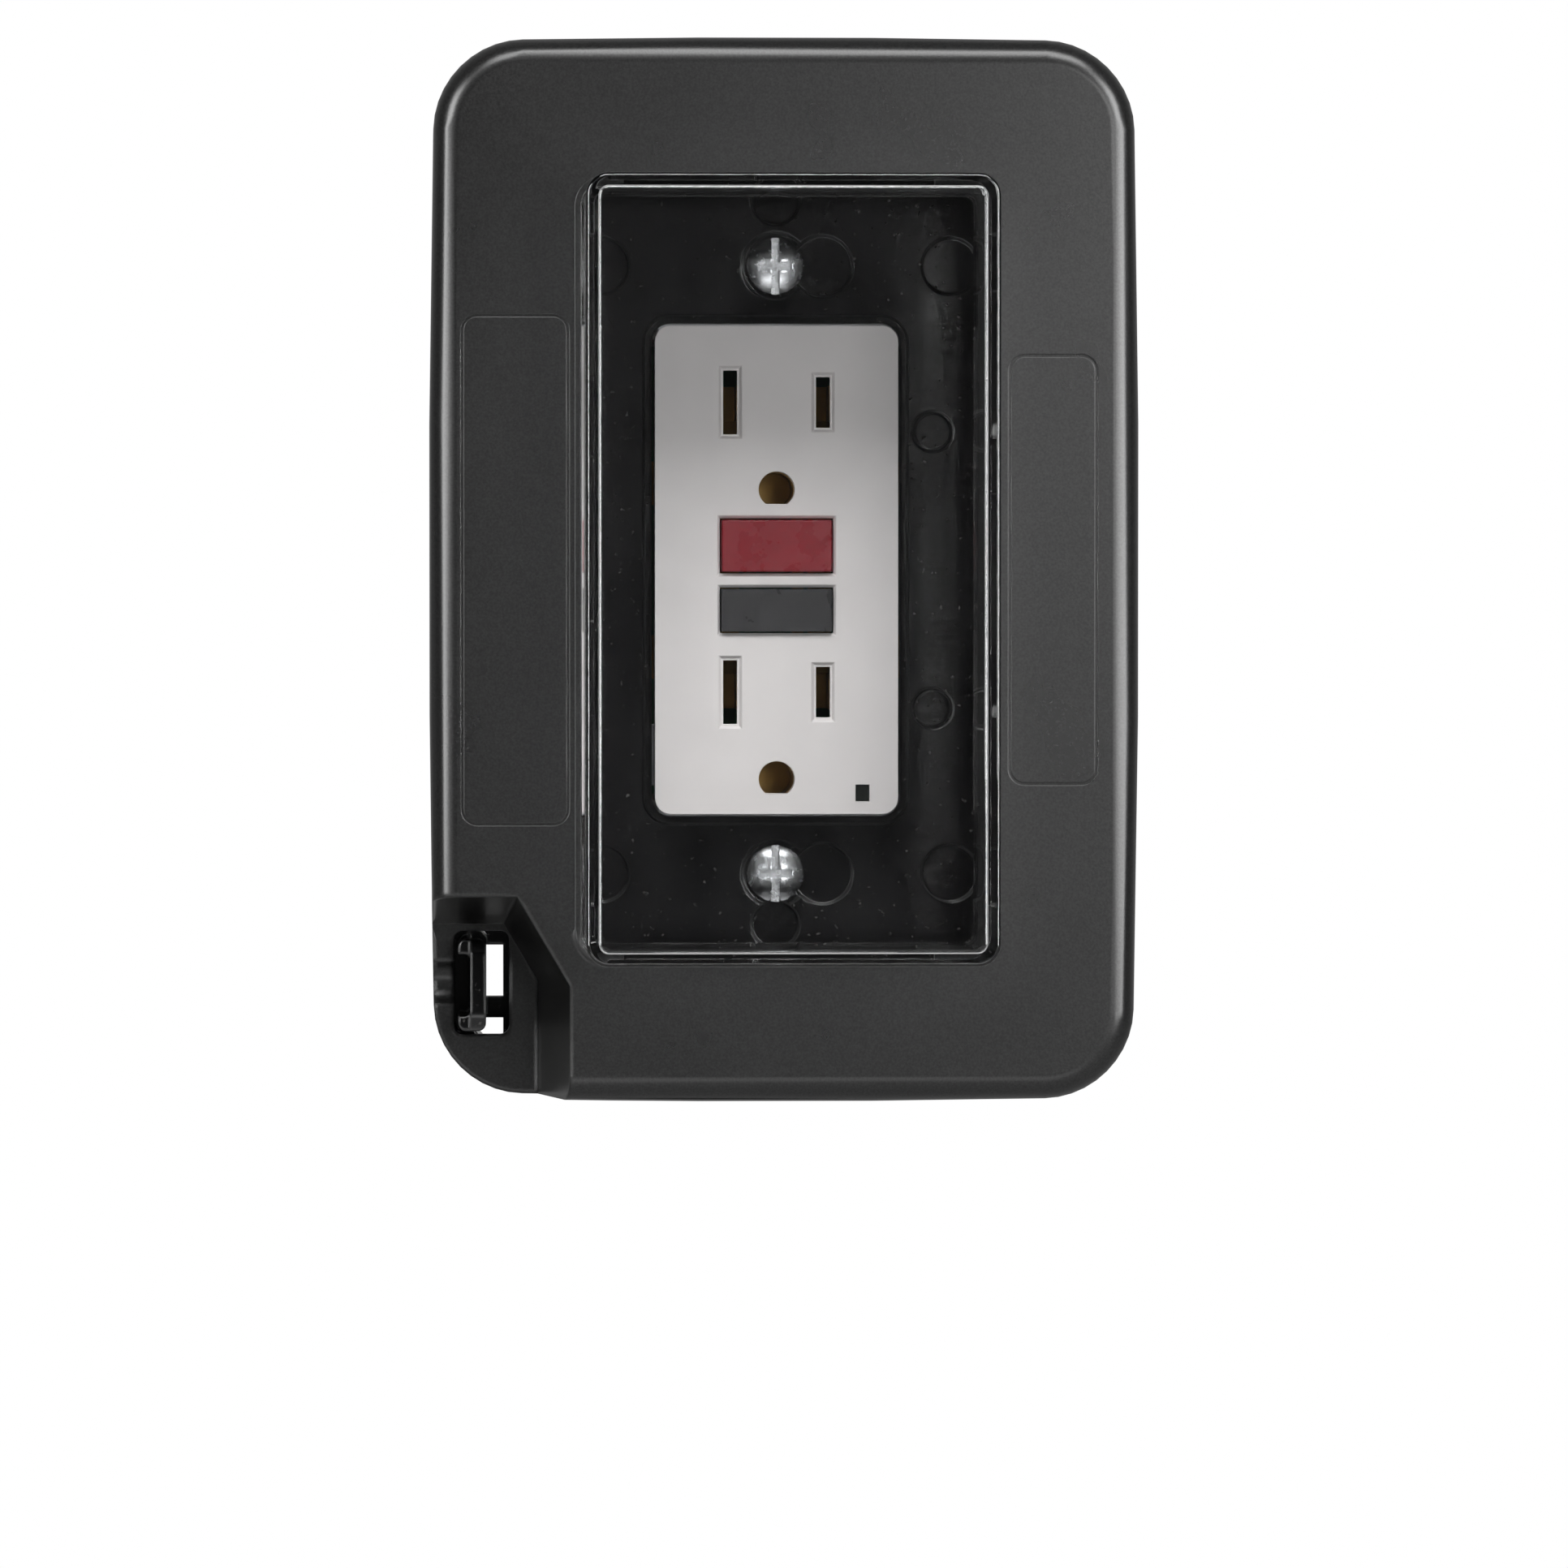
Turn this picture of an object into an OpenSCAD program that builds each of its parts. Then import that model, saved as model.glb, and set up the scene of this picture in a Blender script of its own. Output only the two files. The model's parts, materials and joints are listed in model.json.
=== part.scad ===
// Weatherproof in-use cover for a single-gang outlet, with the receptacle that it is screwed to.
// X is to the right, Z is up and the front faces -Y. The wall is the plane Y = 0.
// A depth is a distance in front of the wall, so a depth of 10 lies at Y = -10.

/* [Lid] */
// Width of the lid's face on each side of the hood, at mid height
side_band = 20.45; // [17:0.05:28]
// Height of the lid's face above and below the hood, at mid width
end_band = 19.55; // [16.5:0.05:28]
// Depth of the lid's flat face
lid_front = 46; // [40:0.5:56]
// Radius of the lid's corners
lid_corner_r = 11.6; // [9:0.1:14]
// How far each long side bows out
side_bow = 0.9; // [0.2:0.1:1.5]
// How far each end bows out
end_bow = 0.6; // [0.2:0.1:1.2]
// Radius of the rolled edge round the face
edge_r = 3.4; // [2.4:0.1:4.5]
// Thickness of the lid's side walls
lid_wall = 2.4; // [1.8:0.1:3]
// Thickness of the lid's face
lid_face_t = 2.5; // [1.8:0.1:3]
// How far the lid reaches out past the base all round
overhang = 2.7; // [2.2:0.1:3.5]
// Gap between the lid's rim and the base
parting_gap = 0.3; // [0.2:0.05:0.5]

/* [Label panels] */
// Width of the left label panel
left_panel_w = 14.4; // [11:0.1:17]
// Height of the left label panel
left_panel_h = 67.8; // [50:0.1:74]
// Width of the right label panel
right_panel_w = 11.9; // [9:0.1:15]
// Height of the right label panel
right_panel_h = 57.2; // [45:0.1:74]
// Width of the engraved line round a panel
panel_line = 0.4; // [0.3:0.05:0.6]
// Depth of the engraved line
panel_depth = 0.25; // [0.15:0.05:0.4]
// Corner radius of a panel
panel_r = 2.2; // [1.5:0.1:3]

/* [Hood] */
// Outer width of the hood
hood_w = 53.5; // [50:0.1:64]
// Outer height of the hood
hood_h = 102.3; // [98:0.1:106]
// Depth of the hood from its front to its rear edge
hood_depth = 40; // [34:0.5:48]
// Wall of the hood
hood_wall = 1.6; // [1.3:0.1:2.4]
// Radius of the hood's outer corners
hood_corner_r = 3; // [2.6:0.1:4]
// Radius of the hood's front edge
hood_edge_r = 0.6; // [0.4:0.1:1.2]
// How far the rear flange stands out of the hood
flange_out = 2; // [1.4:0.1:2.6]
// Thickness of the rear flange
flange_t = 2; // [1.4:0.1:2.6]
// Sliding gap round the hood and its flange
slide_gap = 0.3; // [0.2:0.05:0.5]
// Gap left at each end of the hood's travel
stop_gap = 0.2; // [0.15:0.05:0.4]
// Gap between the pushed-in hood and the base plate
rear_clear = 2.9; // [2:0.1:4]
// Width of the raised collar round the lid's opening
collar_w = 0.8; // [0.6:0.1:1.6]
// Height of the raised collar
collar_h = 0.4; // [0.2:0.1:1.2]

/* [Corner guides] */
// Thickness of the guides inside the lid
guide_t = 1.8; // [1.4:0.1:2.4]
// Length of each leg of a guide
guide_leg = 8; // [6:0.5:11]
// How far the guide's end lip reaches under the flange
guide_lip = 1.6; // [1.2:0.1:2]
// Thickness of the end lip
guide_lip_t = 1.4; // [1:0.1:1.6]

/* [Base] */
// Thickness of the foam gasket against the wall
gasket_t = 1.6; // [1.3:0.1:2.4]
// Thickness of the base plate
floor_t = 2.5; // [2.2:0.1:3.2]
// Thickness of the tray walls
base_wall = 2.5; // [2:0.1:3]
// Depth of the tray's front edge, where the lid meets it
parting_depth = 20; // [17:0.5:24]
// Thickness of the tongue that stands inside the lid
tongue_t = 1.4; // [1.1:0.1:1.8]
// Height of the tongue
tongue_h = 3; // [2:0.1:3.2]
// Height of the raised lip round the receptacle's opening
lip_h = 0.9; // [0.6:0.1:1.4]
// Width of the raised lip
lip_w = 1.1; // [0.8:0.1:1.4]
// Gap between the receptacle's face and the opening
face_gap = 0.35; // [0.2:0.05:0.5]
// Radius of the four corner screw pockets
pocket_r = 3.9; // [3.2:0.1:4.3]
// Depth of a screw pocket
pocket_depth = 1.7; // [1:0.1:1.8]
// Distance of the corner screw pockets from the middle
pocket_x = 24; // [21:0.5:28]
// Radius of the inner screw pockets
inner_pocket_r = 4.2; // [3.2:0.1:4.6]
// Distance of the inner screw pockets from the middle
inner_pocket_x = 6.4; // [6:0.1:10]
// Radius of the end screw pockets
end_pocket_r = 3.3; // [2.8:0.1:4]
// Distance from a mounting screw up to the pocket above it
upper_pocket_out = 9; // [7:0.5:12]
// Distance from a mounting screw down to the pocket below it
lower_pocket_out = 7; // [6:0.5:12]
// Radius of a shallow knockout ring
knockout_r = 2.8; // [2.2:0.1:3.4]
// Distance from the receptacle's opening to the middle of a ring
ring_out = 4.6; // [3.5:0.1:6]
// Distance of the rings from the middle
ring_z = 19; // [14:0.5:26]
// Depth and width of a ring's line
ring_line = 0.3; // [0.2:0.05:0.5]
// Width of the gasket's band at the sides
gasket_band = 11; // [8:0.5:14]
// Gap between the gasket's opening and the yoke's ends
gasket_gap = 0.8; // [0.4:0.1:2]
// Distance from the tray's edge to the gasket's edge
gasket_inset = 4.5; // [3:0.5:7]

/* [Cord ports] */
// Width of a cord port
port_w = 12; // [9:0.5:13]
// Distance between the two ports
port_spacing = 20; // [17:0.5:24]
// Depth of the bottom of a port
port_depth = 8; // [7:0.5:10]

/* [Hinge] */
// Radius of the hinge pins
pin_r = 1.5; // [1.2:0.05:1.8]
// Running gap round a pin
pin_gap = 0.06; // [0.04:0.01:0.09]
// Outer radius of the knuckles
knuckle_r = 3.2; // [2.8:0.1:3.6]
// Length of the lid's knuckle
lug_len = 9; // [7:0.5:13]
// Length of each ear of the base
ear_len = 4.5; // [3:0.5:6]
// Gap between a knuckle and an ear
knuckle_gap = 0.25; // [0.15:0.05:0.4]
// Height of the hinges above and below the middle
hinge_z = 30; // [22:1:32]
// Room between the lid's turning lug and its pocket
pocket_gap = 0.9; // [0.8:0.1:1.4]
// Wall round the hinge pocket
hinge_pocket_wall = 1.6; // [1.2:0.1:2.2]

/* [Lock corner] */
// Width of the notch at the lid's lower left corner
notch_w = 18.7; // [17:0.1:21]
// Height of the notch
notch_h = 27.4; // [26:0.1:30]
// How far the notch's sloped wall leans out
notch_lean = 4.3; // [3:0.1:5]
// Size of the notch's cut-off inner corner at the lid's face
notch_chamfer = 7; // [4:0.1:9]
// Size of the cut-off inner corner at the ledge
foot_chamfer = 4.5; // [3:0.1:6]
// Depth of the ledge's face
ledge_depth = 26; // [25.5:0.1:30]
// Thickness of the ledge
ledge_t = 2.4; // [1.8:0.1:2.6]
// Height of the slot in the ledge
slot_h = 14; // [12:0.1:15]
// Width of the slot
slot_w = 7.4; // [6:0.1:8]
// Distance from the lid's side to the slot
slot_inset = 3.2; // [2.6:0.1:4]
// Distance from the lid's lower edge to the slot
slot_rise = 8.1; // [7:0.1:10]
// Corner radius of the slot
slot_r = 1.2; // [0.6:0.1:1.8]
// Thickness of the padlock tab
tab_t = 2.1; // [1.6:0.1:2.6]
// Thickness of the tab's two side ribs
tab_rib_t = 2; // [1.4:0.1:2.4]
// Radius of the two ends of the tab's front edge
tab_end_r = 2.6; // [1.5:0.1:3.5]
// Corner radius of the tab, seen from the front
tab_r = 1.2; // [0.6:0.1:1.8]
// How far the side ribs stay behind the tab's front
tab_rib_drop = 1.6; // [1:0.1:4]
// How far the padlock tab stands above the ledge
tab_out = 9.4; // [7:0.1:10]
// Distance from the slot's left side to the tab
tab_inset = 2.2; // [1.9:0.1:2.8]
// Radius of the padlock hole
hasp_r = 3.2; // [2.5:0.1:3.4]
// Height of the padlock hole's centre above the ledge
hasp_rise = 1.4; // [0.8:0.1:2.5]

/* [Receptacle] */
// Width of the receptacle's face
face_w = 33.3; // [31:0.1:38]
// Distance from the lower ground hole to the end of the face
face_end = 2.35; // [1.8:0.05:4]
// Depth of the front of the face
face_depth = 9; // [8:0.1:11]
// Corner radius of the face
face_r = 2.2; // [1.6:0.1:3]
// Wall of the face
face_wall = 1.6; // [1.3:0.1:2]
// Distance from the face's end to a mounting screw
screw_margin = 8.27; // [7.5:0.01:9.5]
// Thickness of the steel yoke
yoke_t = 1.2; // [0.9:0.1:1.4]
// Length that the yoke reaches past each screw
yoke_end = 10; // [7:0.5:11]
// Width of the rear housing
body_w = 42; // [38:0.5:46]
// Depth of the rear housing behind the wall
body_depth = 28; // [24:0.5:34]
// Wall of the rear housing
body_wall = 1.8; // [1.4:0.1:2.2]
// Distance between the two outlets
outlet_spacing = 39.6; // [38:0.1:40]
// Height of the lower outlet's slots below the middle
outlet_drop = 16.7; // [16:0.1:18]
// Distance between the two blade slots
slot_spacing = 12.7; // [12:0.1:13.2]
// Distance from the slots to the ground hole
ground_drop = 11.9; // [11.5:0.1:12.2]
// Radius of the ground hole
ground_r = 2.45; // [2.2:0.05:2.7]
// Height of the neutral slot
neutral_h = 8.7; // [8:0.1:9]
// Height of the hot slot
hot_h = 6.9; // [6:0.1:7.5]
// Width of a blade slot
blade_w = 1.9; // [1.6:0.05:2.2]
// Width of the lamp window
lens_w = 1.9; // [1.5:0.1:2.4]
// Height of the lamp window
lens_h = 2.3; // [1.8:0.1:2.8]

/* [Buttons] */
// Width of a button
button_w = 15.1; // [13:0.1:16]
// Height of the reset button
reset_h = 7.1; // [6:0.1:7.3]
// Height of the test button
test_h = 5.8; // [5:0.1:6]
// Height of the reset button's centre
reset_z = 3.3; // [3:0.1:3.6]
// Depth of the test button's centre below the middle
test_drop = 5.5; // [5.2:0.1:5.8]
// Length of a button from the face down to its collar's foot
button_len = 8; // [7.4:0.1:8.6]
// Radius of a button's stem
stem_r = 1.2; // [0.9:0.1:1.4]
// How far the stem reaches below the button's body
stem_reach = 4.8; // [3:0.1:6]
// How far a button stands out of the face
button_out = 0.7; // [0.3:0.1:1.2]
// Gap round a button
button_gap = 0.2; // [0.15:0.05:0.3]
// Wire of the button springs
spring_wire = 0.5; // [0.4:0.05:0.7]
// Radius of the button springs
spring_r = 2; // [1.8:0.1:2.3]

/* [Screws] */
// Radius of a mounting screw
screw_r = 1.75; // [1.5:0.05:2]
// Radius of a mounting screw's head
head_r = 3.9; // [3.4:0.1:4.2]
// Thickness of the head
head_t = 1.9; // [1.5:0.1:2.4]
// Gap round the head in its recess
head_gap = 0.7; // [0.5:0.1:0.9]
// Length that a mounting screw reaches behind the wall
screw_reach = 16; // [12:0.5:22]
// Gap round a screw in its hole
screw_gap = 0.3; // [0.2:0.05:0.5]
// How much thinner the screw's neck is than its thread
neck_in = 0.2; // [0.1:0.05:0.3]
// Radius of a terminal screw's head
binding_r = 3.6; // [3:0.1:4]
// Radius of the ground screw's head
ground_head_r = 3.2; // [2.8:0.1:3.6]
// Thickness of a terminal screw's head
binding_t = 1.8; // [1.4:0.1:2.2]
// Radius of a terminal screw's thread
binding_thread_r = 1.7; // [1.4:0.05:1.9]
// Distance from the housing's lower end to the ground screw
ground_screw_up = 8; // [7:0.5:10]
// Length of a terminal screw's thread
binding_len = 3.4; // [2.6:0.1:3.6]

/* [Inside the receptacle] */
// Depth of the circuit board behind the wall
board_drop = 14; // [13:0.5:16]
// Thickness of the circuit board
board_t = 1.6; // [1.2:0.1:2]
// Gap between the board and the housing's sides
board_gap = 1.7; // [1.5:0.1:2.5]
// Radius of the sensing coil at the middle of its ring
coil_r = 6; // [5:0.1:7]
// Width of the coil's winding
coil_w = 4.8; // [4:0.1:5.5]
// Length of the sensing coil
coil_h = 6.5; // [5:0.1:8]
// Radius of the solenoid's winding
solenoid_r = 4.4; // [3.6:0.1:5]
// Length of the solenoid's winding
solenoid_len = 13; // [10:0.5:15]
// Thickness of the brass contacts
contact_t = 0.8; // [0.6:0.1:1]
// Height of a contact jaw
jaw_h = 4.8; // [4:0.1:6]
// Depth of a terminal screw behind the wall
terminal_drop = 9; // [8:0.5:9.5]
// Radius of a board post
board_post_r = 1.5; // [1.2:0.1:2]

/* [Hidden] */
$fn = 64;
eps = 0.01;
// Steps along each side, in each corner and across the rolled edge of a lofted shell
side_steps = 6;
corner_steps = 10;
roll_steps = 7;

lid_w = hood_w + 2 * side_band;
lid_h = hood_h + 2 * end_band;
floor_top = gasket_t + floor_t;
base_w = lid_w - 2 * overhang;
base_h = lid_h - 2 * overhang;
base_r = lid_corner_r - overhang;
rim_depth = parting_depth + parting_gap;
lid_inner = lid_front - lid_face_t;
lid_draft = 0.4;

hood_rear_in = floor_top + rear_clear;
hood_rear_out = lid_inner - stop_gap - flange_t;
hood_front = hood_rear_out + hood_depth;
guide_x = hood_w / 2 + flange_out + slide_gap;
guide_z = hood_h / 2 + flange_out + slide_gap;
guide_end = hood_rear_in - stop_gap - guide_lip_t;

face_h = 2 * (outlet_drop + ground_drop + ground_r + face_end);
screw_z = face_h / 2 + screw_margin;
head_seat = floor_top - 1.2;
open_w = face_w + 2 * face_gap;
open_h = face_h + 2 * face_gap;

hinge_x = base_w / 2 - 0.7;
hinge_depth = parting_depth - knuckle_r + 0.2;
hinge_len = lug_len + 2 * (ear_len + knuckle_gap);

notch_x = -lid_w / 2 + notch_w;
notch_z = -lid_h / 2 + notch_h;
ledge_back = ledge_depth - ledge_t;
slot_x = -lid_w / 2 + slot_inset;
slot_z = -lid_h / 2 + slot_rise;
tab_x = slot_x + tab_inset;
tab_z = slot_z + slot_h / 2;
tab_h = slot_h - 1.6;
hasp_depth = ledge_depth + hasp_rise;

yoke_back = gasket_t - yoke_t - 0.1;
yoke_front = yoke_back + yoke_t;
face_front_t = 1.8;
board_depth = -board_drop;
lens_x = face_w / 2 - 4.9;
lens_z = -face_h / 2 + 2.9;
spring_low = board_depth + board_t;
button_foot = face_depth - button_len;
terminal_depth = -terminal_drop;
board_w = body_w - 2 * body_wall - 2 * board_gap;
board_h = face_h - 2 * body_wall - 1;
wing_x = body_w / 2 - body_wall - 0.3;
strap_x = spring_r + 0.6;
strap_w = 1.6;
sleeve_r = ground_r + 0.35;
ground_screw_z = -face_h / 2 + ground_screw_up;
jaw_foot = -5;
jaw_top = face_depth - face_front_t - 2;

// Height of an outlet's blade slots: 0 is the lower outlet and 1 the upper
function outlet_z(s) = -outlet_drop + s * outlet_spacing;
// Height of a terminal screw on either side
function terminal_z(s) = (s == 0 ? -1 : 1) * 12;

// Turns an outline drawn in X and Z into a plate between two depths
module slab(d0, d1) {
  translate([0, -d0, 0]) rotate([90, 0, 0]) linear_extrude(d1 - d0) children();
}

// Cylinder along the depth, between two depths
module post(x, z, r, d0, d1) {
  translate([x, -d0, z]) rotate([90, 0, 0]) cylinder(r = r, h = d1 - d0);
}

// Box between two corners given as X, depth and Z
module block(low, high) {
  translate([low[0], -high[1], low[2]])
    cube([high[0] - low[0], high[1] - low[1], high[2] - low[2]]);
}

// Rectangle with round corners, centred
module round_rect(w, h, r) {
  square([w - 2 * r, h], center = true);
  square([w, h - 2 * r], center = true);
  for (sx = [-1, 1], sz = [-1, 1])
    translate([sx * (w / 2 - r), sz * (h / 2 - r)]) circle(r = r);
}

// Frame between two rectangles with round corners, its band lying outside the inner one
module round_frame(w, h, r, band) {
  difference() {
    round_rect(w + 2 * band, h + 2 * band, r + band);
    round_rect(w, h, r);
  }
}

// Points of a rectangle with round corners, counterclockwise, with a number of steps along each side
function outline(a, b, r, steps) = [
  for (k = [0:3])
    let (sx = [1, -1, -1, 1][k], sz = [1, 1, -1, -1][k],
         c = [sx * (a - r), sz * (b - r)],
         p0 = c + r * [cos(90 * k), sin(90 * k)],
         next = (k + 1) % 4,
         cn = [[1, -1, -1, 1][next] * (a - r), [1, 1, -1, -1][next] * (b - r)],
         p1 = c + r * [cos(90 * k + 90), sin(90 * k + 90)],
         q = cn + r * [cos(90 * next), sin(90 * next)])
      each concat(
        [for (i = [0:corner_steps - 1])
          c + r * [cos(90 * (k + i / corner_steps)), sin(90 * (k + i / corner_steps))]],
        [for (i = [0:steps - 1]) p1 + (q - p1) * i / steps])
];

// One ring of a shell: the outline bowed out at mid side, at one depth; a straight side needs no steps
function ring(a, b, r, bow_x, bow_z, d) = [
  for (p = outline(a - bow_x, b - bow_z, r, bow_x > 0 ? side_steps : 1))
    [p[0] * (1 + bow_x / (a - bow_x) * (1 - pow(p[1] / b, 2))), -d,
     p[1] * (1 + bow_z / (b - bow_z) * (1 - pow(p[0] / a, 2)))]
];

// Closed skin through a list of rings, with a flat cap on the first and on the last
module loft(rings) {
  n = len(rings[0]);
  m = len(rings);
  polyhedron(
    points = [for (one = rings) each one],
    faces = concat(
      [[for (i = [n - 1:-1:0]) i]],
      [for (j = [0:m - 2], i = [0:n - 1])
        [j * n + i, j * n + (i + 1) % n, (j + 1) * n + (i + 1) % n, (j + 1) * n + i]],
      [[for (i = [0:n - 1]) (m - 1) * n + i]]));
}

// Rings of an edge rolled from the face down into the side
function rolled(a, b, r, bow_x, bow_z, roll, d) = [
  for (i = [0:roll_steps])
    let (t = 90 * (1 - i / roll_steps), inset = roll * (1 - cos(t)))
      ring(a - inset, b - inset, max(r - inset, 0.4), bow_x, bow_z, d - roll + roll * sin(t))
];

// The lid's outer form, solid, down to a given depth
module lid_form(d) {
  loft(concat(
    rolled(lid_w / 2, lid_h / 2, lid_corner_r, side_bow, end_bow, edge_r, lid_front),
    [ring(lid_w / 2 + lid_draft / 2, lid_h / 2 + lid_draft / 2, lid_corner_r, side_bow, end_bow, d)]));
}

// The lid's skin: outer form, rim and cavity in one closed surface
module lid_shell() {
  in_w = lid_w / 2 - lid_wall;
  in_h = lid_h / 2 - lid_wall;
  in_r = lid_corner_r - lid_wall;
  in_roll = edge_r - 1;
  loft(concat(
    rolled(lid_w / 2, lid_h / 2, lid_corner_r, side_bow, end_bow, edge_r, lid_front),
    [ring(lid_w / 2 + lid_draft / 2, lid_h / 2 + lid_draft / 2, lid_corner_r, side_bow, end_bow, rim_depth),
     ring(in_w + lid_draft / 2, in_h + lid_draft / 2, in_r, side_bow, end_bow, rim_depth),
     ring(in_w, in_h, in_r, side_bow, end_bow, lid_inner - in_roll),
     ring(in_w - 0.3 * in_roll, in_h - 0.3 * in_roll, in_r - 0.3 * in_roll, side_bow, end_bow,
          lid_inner - 0.3 * in_roll),
     ring(in_w - in_roll, in_h - in_roll, in_r - in_roll, side_bow, end_bow, lid_inner)]));
}

// Corner points of the lock notch, from its left end to its lower end, pushed back by a distance
function notch_points(x, z, cut) = [
  [-lid_w / 2 - 6, z], [x - cut, z], [x, z - 1.7 * cut], [x, -lid_h / 2 - 6], [-lid_w / 2 - 6, -lid_h / 2 - 6]
];

// Tapered block of the lock corner: narrow at the ledge and wide at the face
module notch_form(grow, back, front) {
  slope = notch_lean / (lid_front - ledge_depth);
  at_back = (lid_front - back) * slope;
  at_front = (lid_front - front) * slope;
  narrow = (notch_chamfer - foot_chamfer) / (lid_front - ledge_depth);
  low = notch_points(notch_x - at_back + grow, notch_z - at_back + grow,
                     notch_chamfer - (lid_front - back) * narrow);
  high = notch_points(notch_x - at_front + grow, notch_z - at_front + grow,
                      notch_chamfer - (lid_front - front) * narrow);
  n = len(low);
  polyhedron(
    points = concat([for (p = high) [p[0], -front, p[1]]], [for (p = low) [p[0], -back, p[1]]]),
    faces = concat(
      [[for (i = [0:n - 1]) i]],
      [for (i = [0:n - 1]) [i, n + i, n + (i + 1) % n, (i + 1) % n]],
      [[for (i = [n - 1:-1:0]) n + i]]));
}

// The L-shaped guide at one corner of the hood's flange, with the lip that stops the hood
module corner_guide(sx, sz) {
  mirror([sx < 0 ? 1 : 0, 0, 0]) mirror([0, 0, sz < 0 ? 1 : 0]) {
    block([guide_x, guide_end, guide_z - guide_leg], [guide_x + guide_t, lid_inner + eps, guide_z + guide_t]);
    block([guide_x - guide_leg, guide_end, guide_z], [guide_x + guide_t, lid_inner + eps, guide_z + guide_t]);
    block([guide_x - guide_lip, guide_end, guide_z - guide_leg],
          [guide_x + eps, guide_end + guide_lip_t, guide_z + eps]);
    block([guide_x - guide_leg, guide_end, guide_z - guide_lip],
          [guide_x + eps, guide_end + guide_lip_t, guide_z + eps]);
  }
}

// One knuckle along Z, solid
module knuckle(z0, z1) {
  translate([hinge_x, -hinge_depth, z0]) cylinder(r = knuckle_r, h = z1 - z0);
}

// Bore of the pin through every knuckle of one hinge
module hinge_bore(zc) {
  translate([hinge_x, -hinge_depth, zc - hinge_len / 2 - 1])
    cylinder(r = pin_r + pin_gap, h = hinge_len + 2);
}

// The lug that carries the lid on one pin
module lid_lug(zc) {
  knuckle(zc - lug_len / 2, zc + lug_len / 2);
  block([hinge_x, hinge_depth, zc - lug_len / 2], [hinge_x + knuckle_r, rim_depth + 3, zc + lug_len / 2]);
}

// Engraved line round a bare label panel
module panel_groove(x, w, h) {
  translate([x, 0, 0]) slab(lid_front - panel_depth, lid_front + 1) round_frame(w - 2 * panel_line,
    h - 2 * panel_line, panel_r - panel_line, panel_line);
}

module lid() {
  opening_w = hood_w + 2 * slide_gap;
  opening_h = hood_h + 2 * slide_gap;
  opening_r = hood_corner_r + slide_gap;
  left_x = -(hood_w / 2 + lid_w / 2) / 2 + 1.2;
  color("#343434") difference() {
    union() {
      lid_shell();
      slab(lid_front - eps, lid_front + collar_h) round_frame(opening_w, opening_h, opening_r, collar_w);
      for (sx = [-1, 1], sz = [-1, 1]) corner_guide(sx, sz);
      for (sz = [-1, 1]) lid_lug(sz * hinge_z);
      difference() {
        intersection() {
          lid_form(ledge_back);
          notch_form(lid_wall, ledge_back, lid_front - 1);
        }
        slab(ledge_back - 1, lid_inner)
          round_rect(2 * guide_x, 2 * guide_z, hood_corner_r + flange_out + slide_gap);
      }
    }
    slab(lid_inner - 1, lid_front + collar_h + 1) round_rect(opening_w, opening_h, opening_r);
    notch_form(0, ledge_depth, lid_front + 2);
    translate([slot_x + slot_w / 2, 0, slot_z + slot_h / 2]) slab(ledge_back - 3, ledge_depth + 1)
      round_rect(slot_w, slot_h, slot_r);
    translate([-lid_w / 2 - 5, -hasp_depth, tab_z]) rotate([0, 90, 0])
      cylinder(r = hasp_r, h = slot_x - 0.6 + lid_w / 2 + 5 + 1.2);
    for (sz = [-1, 1]) hinge_bore(sz * hinge_z);
    panel_groove(left_x, left_panel_w, left_panel_h);
    panel_groove(-left_x - 0.2, right_panel_w, right_panel_h);
  }
}

// The hood's walls and front in one closed surface
module hood_shell() {
  in_w = hood_w / 2 - hood_wall;
  in_h = hood_h / 2 - hood_wall;
  in_r = hood_corner_r - hood_wall + 0.3;
  loft(concat(
    rolled(hood_w / 2, hood_h / 2, hood_corner_r, 0, 0, hood_edge_r, hood_front),
    [ring(hood_w / 2, hood_h / 2, hood_corner_r, 0, 0, hood_rear_out),
     ring(in_w, in_h, in_r, 0, 0, hood_rear_out),
     ring(in_w, in_h, in_r, 0, 0, hood_front - hood_wall - 0.6),
     ring(in_w - 0.6, in_h - 0.6, in_r - 0.6, 0, 0, hood_front - hood_wall)]));
}

module hood() {
  color("#c9d2d6", 0.35) union() {
    hood_shell();
    slab(hood_rear_out, hood_rear_out + flange_t) round_frame(hood_w - hood_wall, hood_h - hood_wall,
      hood_corner_r - hood_wall / 2, flange_out + hood_wall / 2);
  }
}

module base() {
  color("#1d1d1d") difference() {
    union() {
      slab(gasket_t, floor_top) round_rect(base_w, base_h, base_r);
      slab(gasket_t, parting_depth)
        round_frame(base_w - 2 * base_wall, base_h - 2 * base_wall, base_r - base_wall, base_wall);
      tongue();
      slab(floor_top - eps, floor_top + lip_h) round_frame(open_w, open_h, face_r + face_gap, lip_w);
      for (sz = [-1, 1]) hinge_boss(sz * hinge_z);
      for (sz = [-1, 1]) hinge_ears(sz * hinge_z);
      padlock_tab();
    }
    slab(gasket_t - 1, floor_top + lip_h + 1) round_rect(open_w, open_h, face_r + face_gap);
    for (sz = [-1, 1]) {
      post(0, sz * screw_z, screw_r + screw_gap, gasket_t - 1, floor_top + 1);
      post(0, sz * screw_z, head_r + head_gap, head_seat, floor_top + 1);
      hinge_bore(sz * hinge_z);
      hinge_pocket(sz * hinge_z);
    }
    screw_pockets();
    for (sx = [-1, 1]) cord_port(sx * port_spacing / 2);
    floor_window();
    padlock_hole();
  }
}

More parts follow.
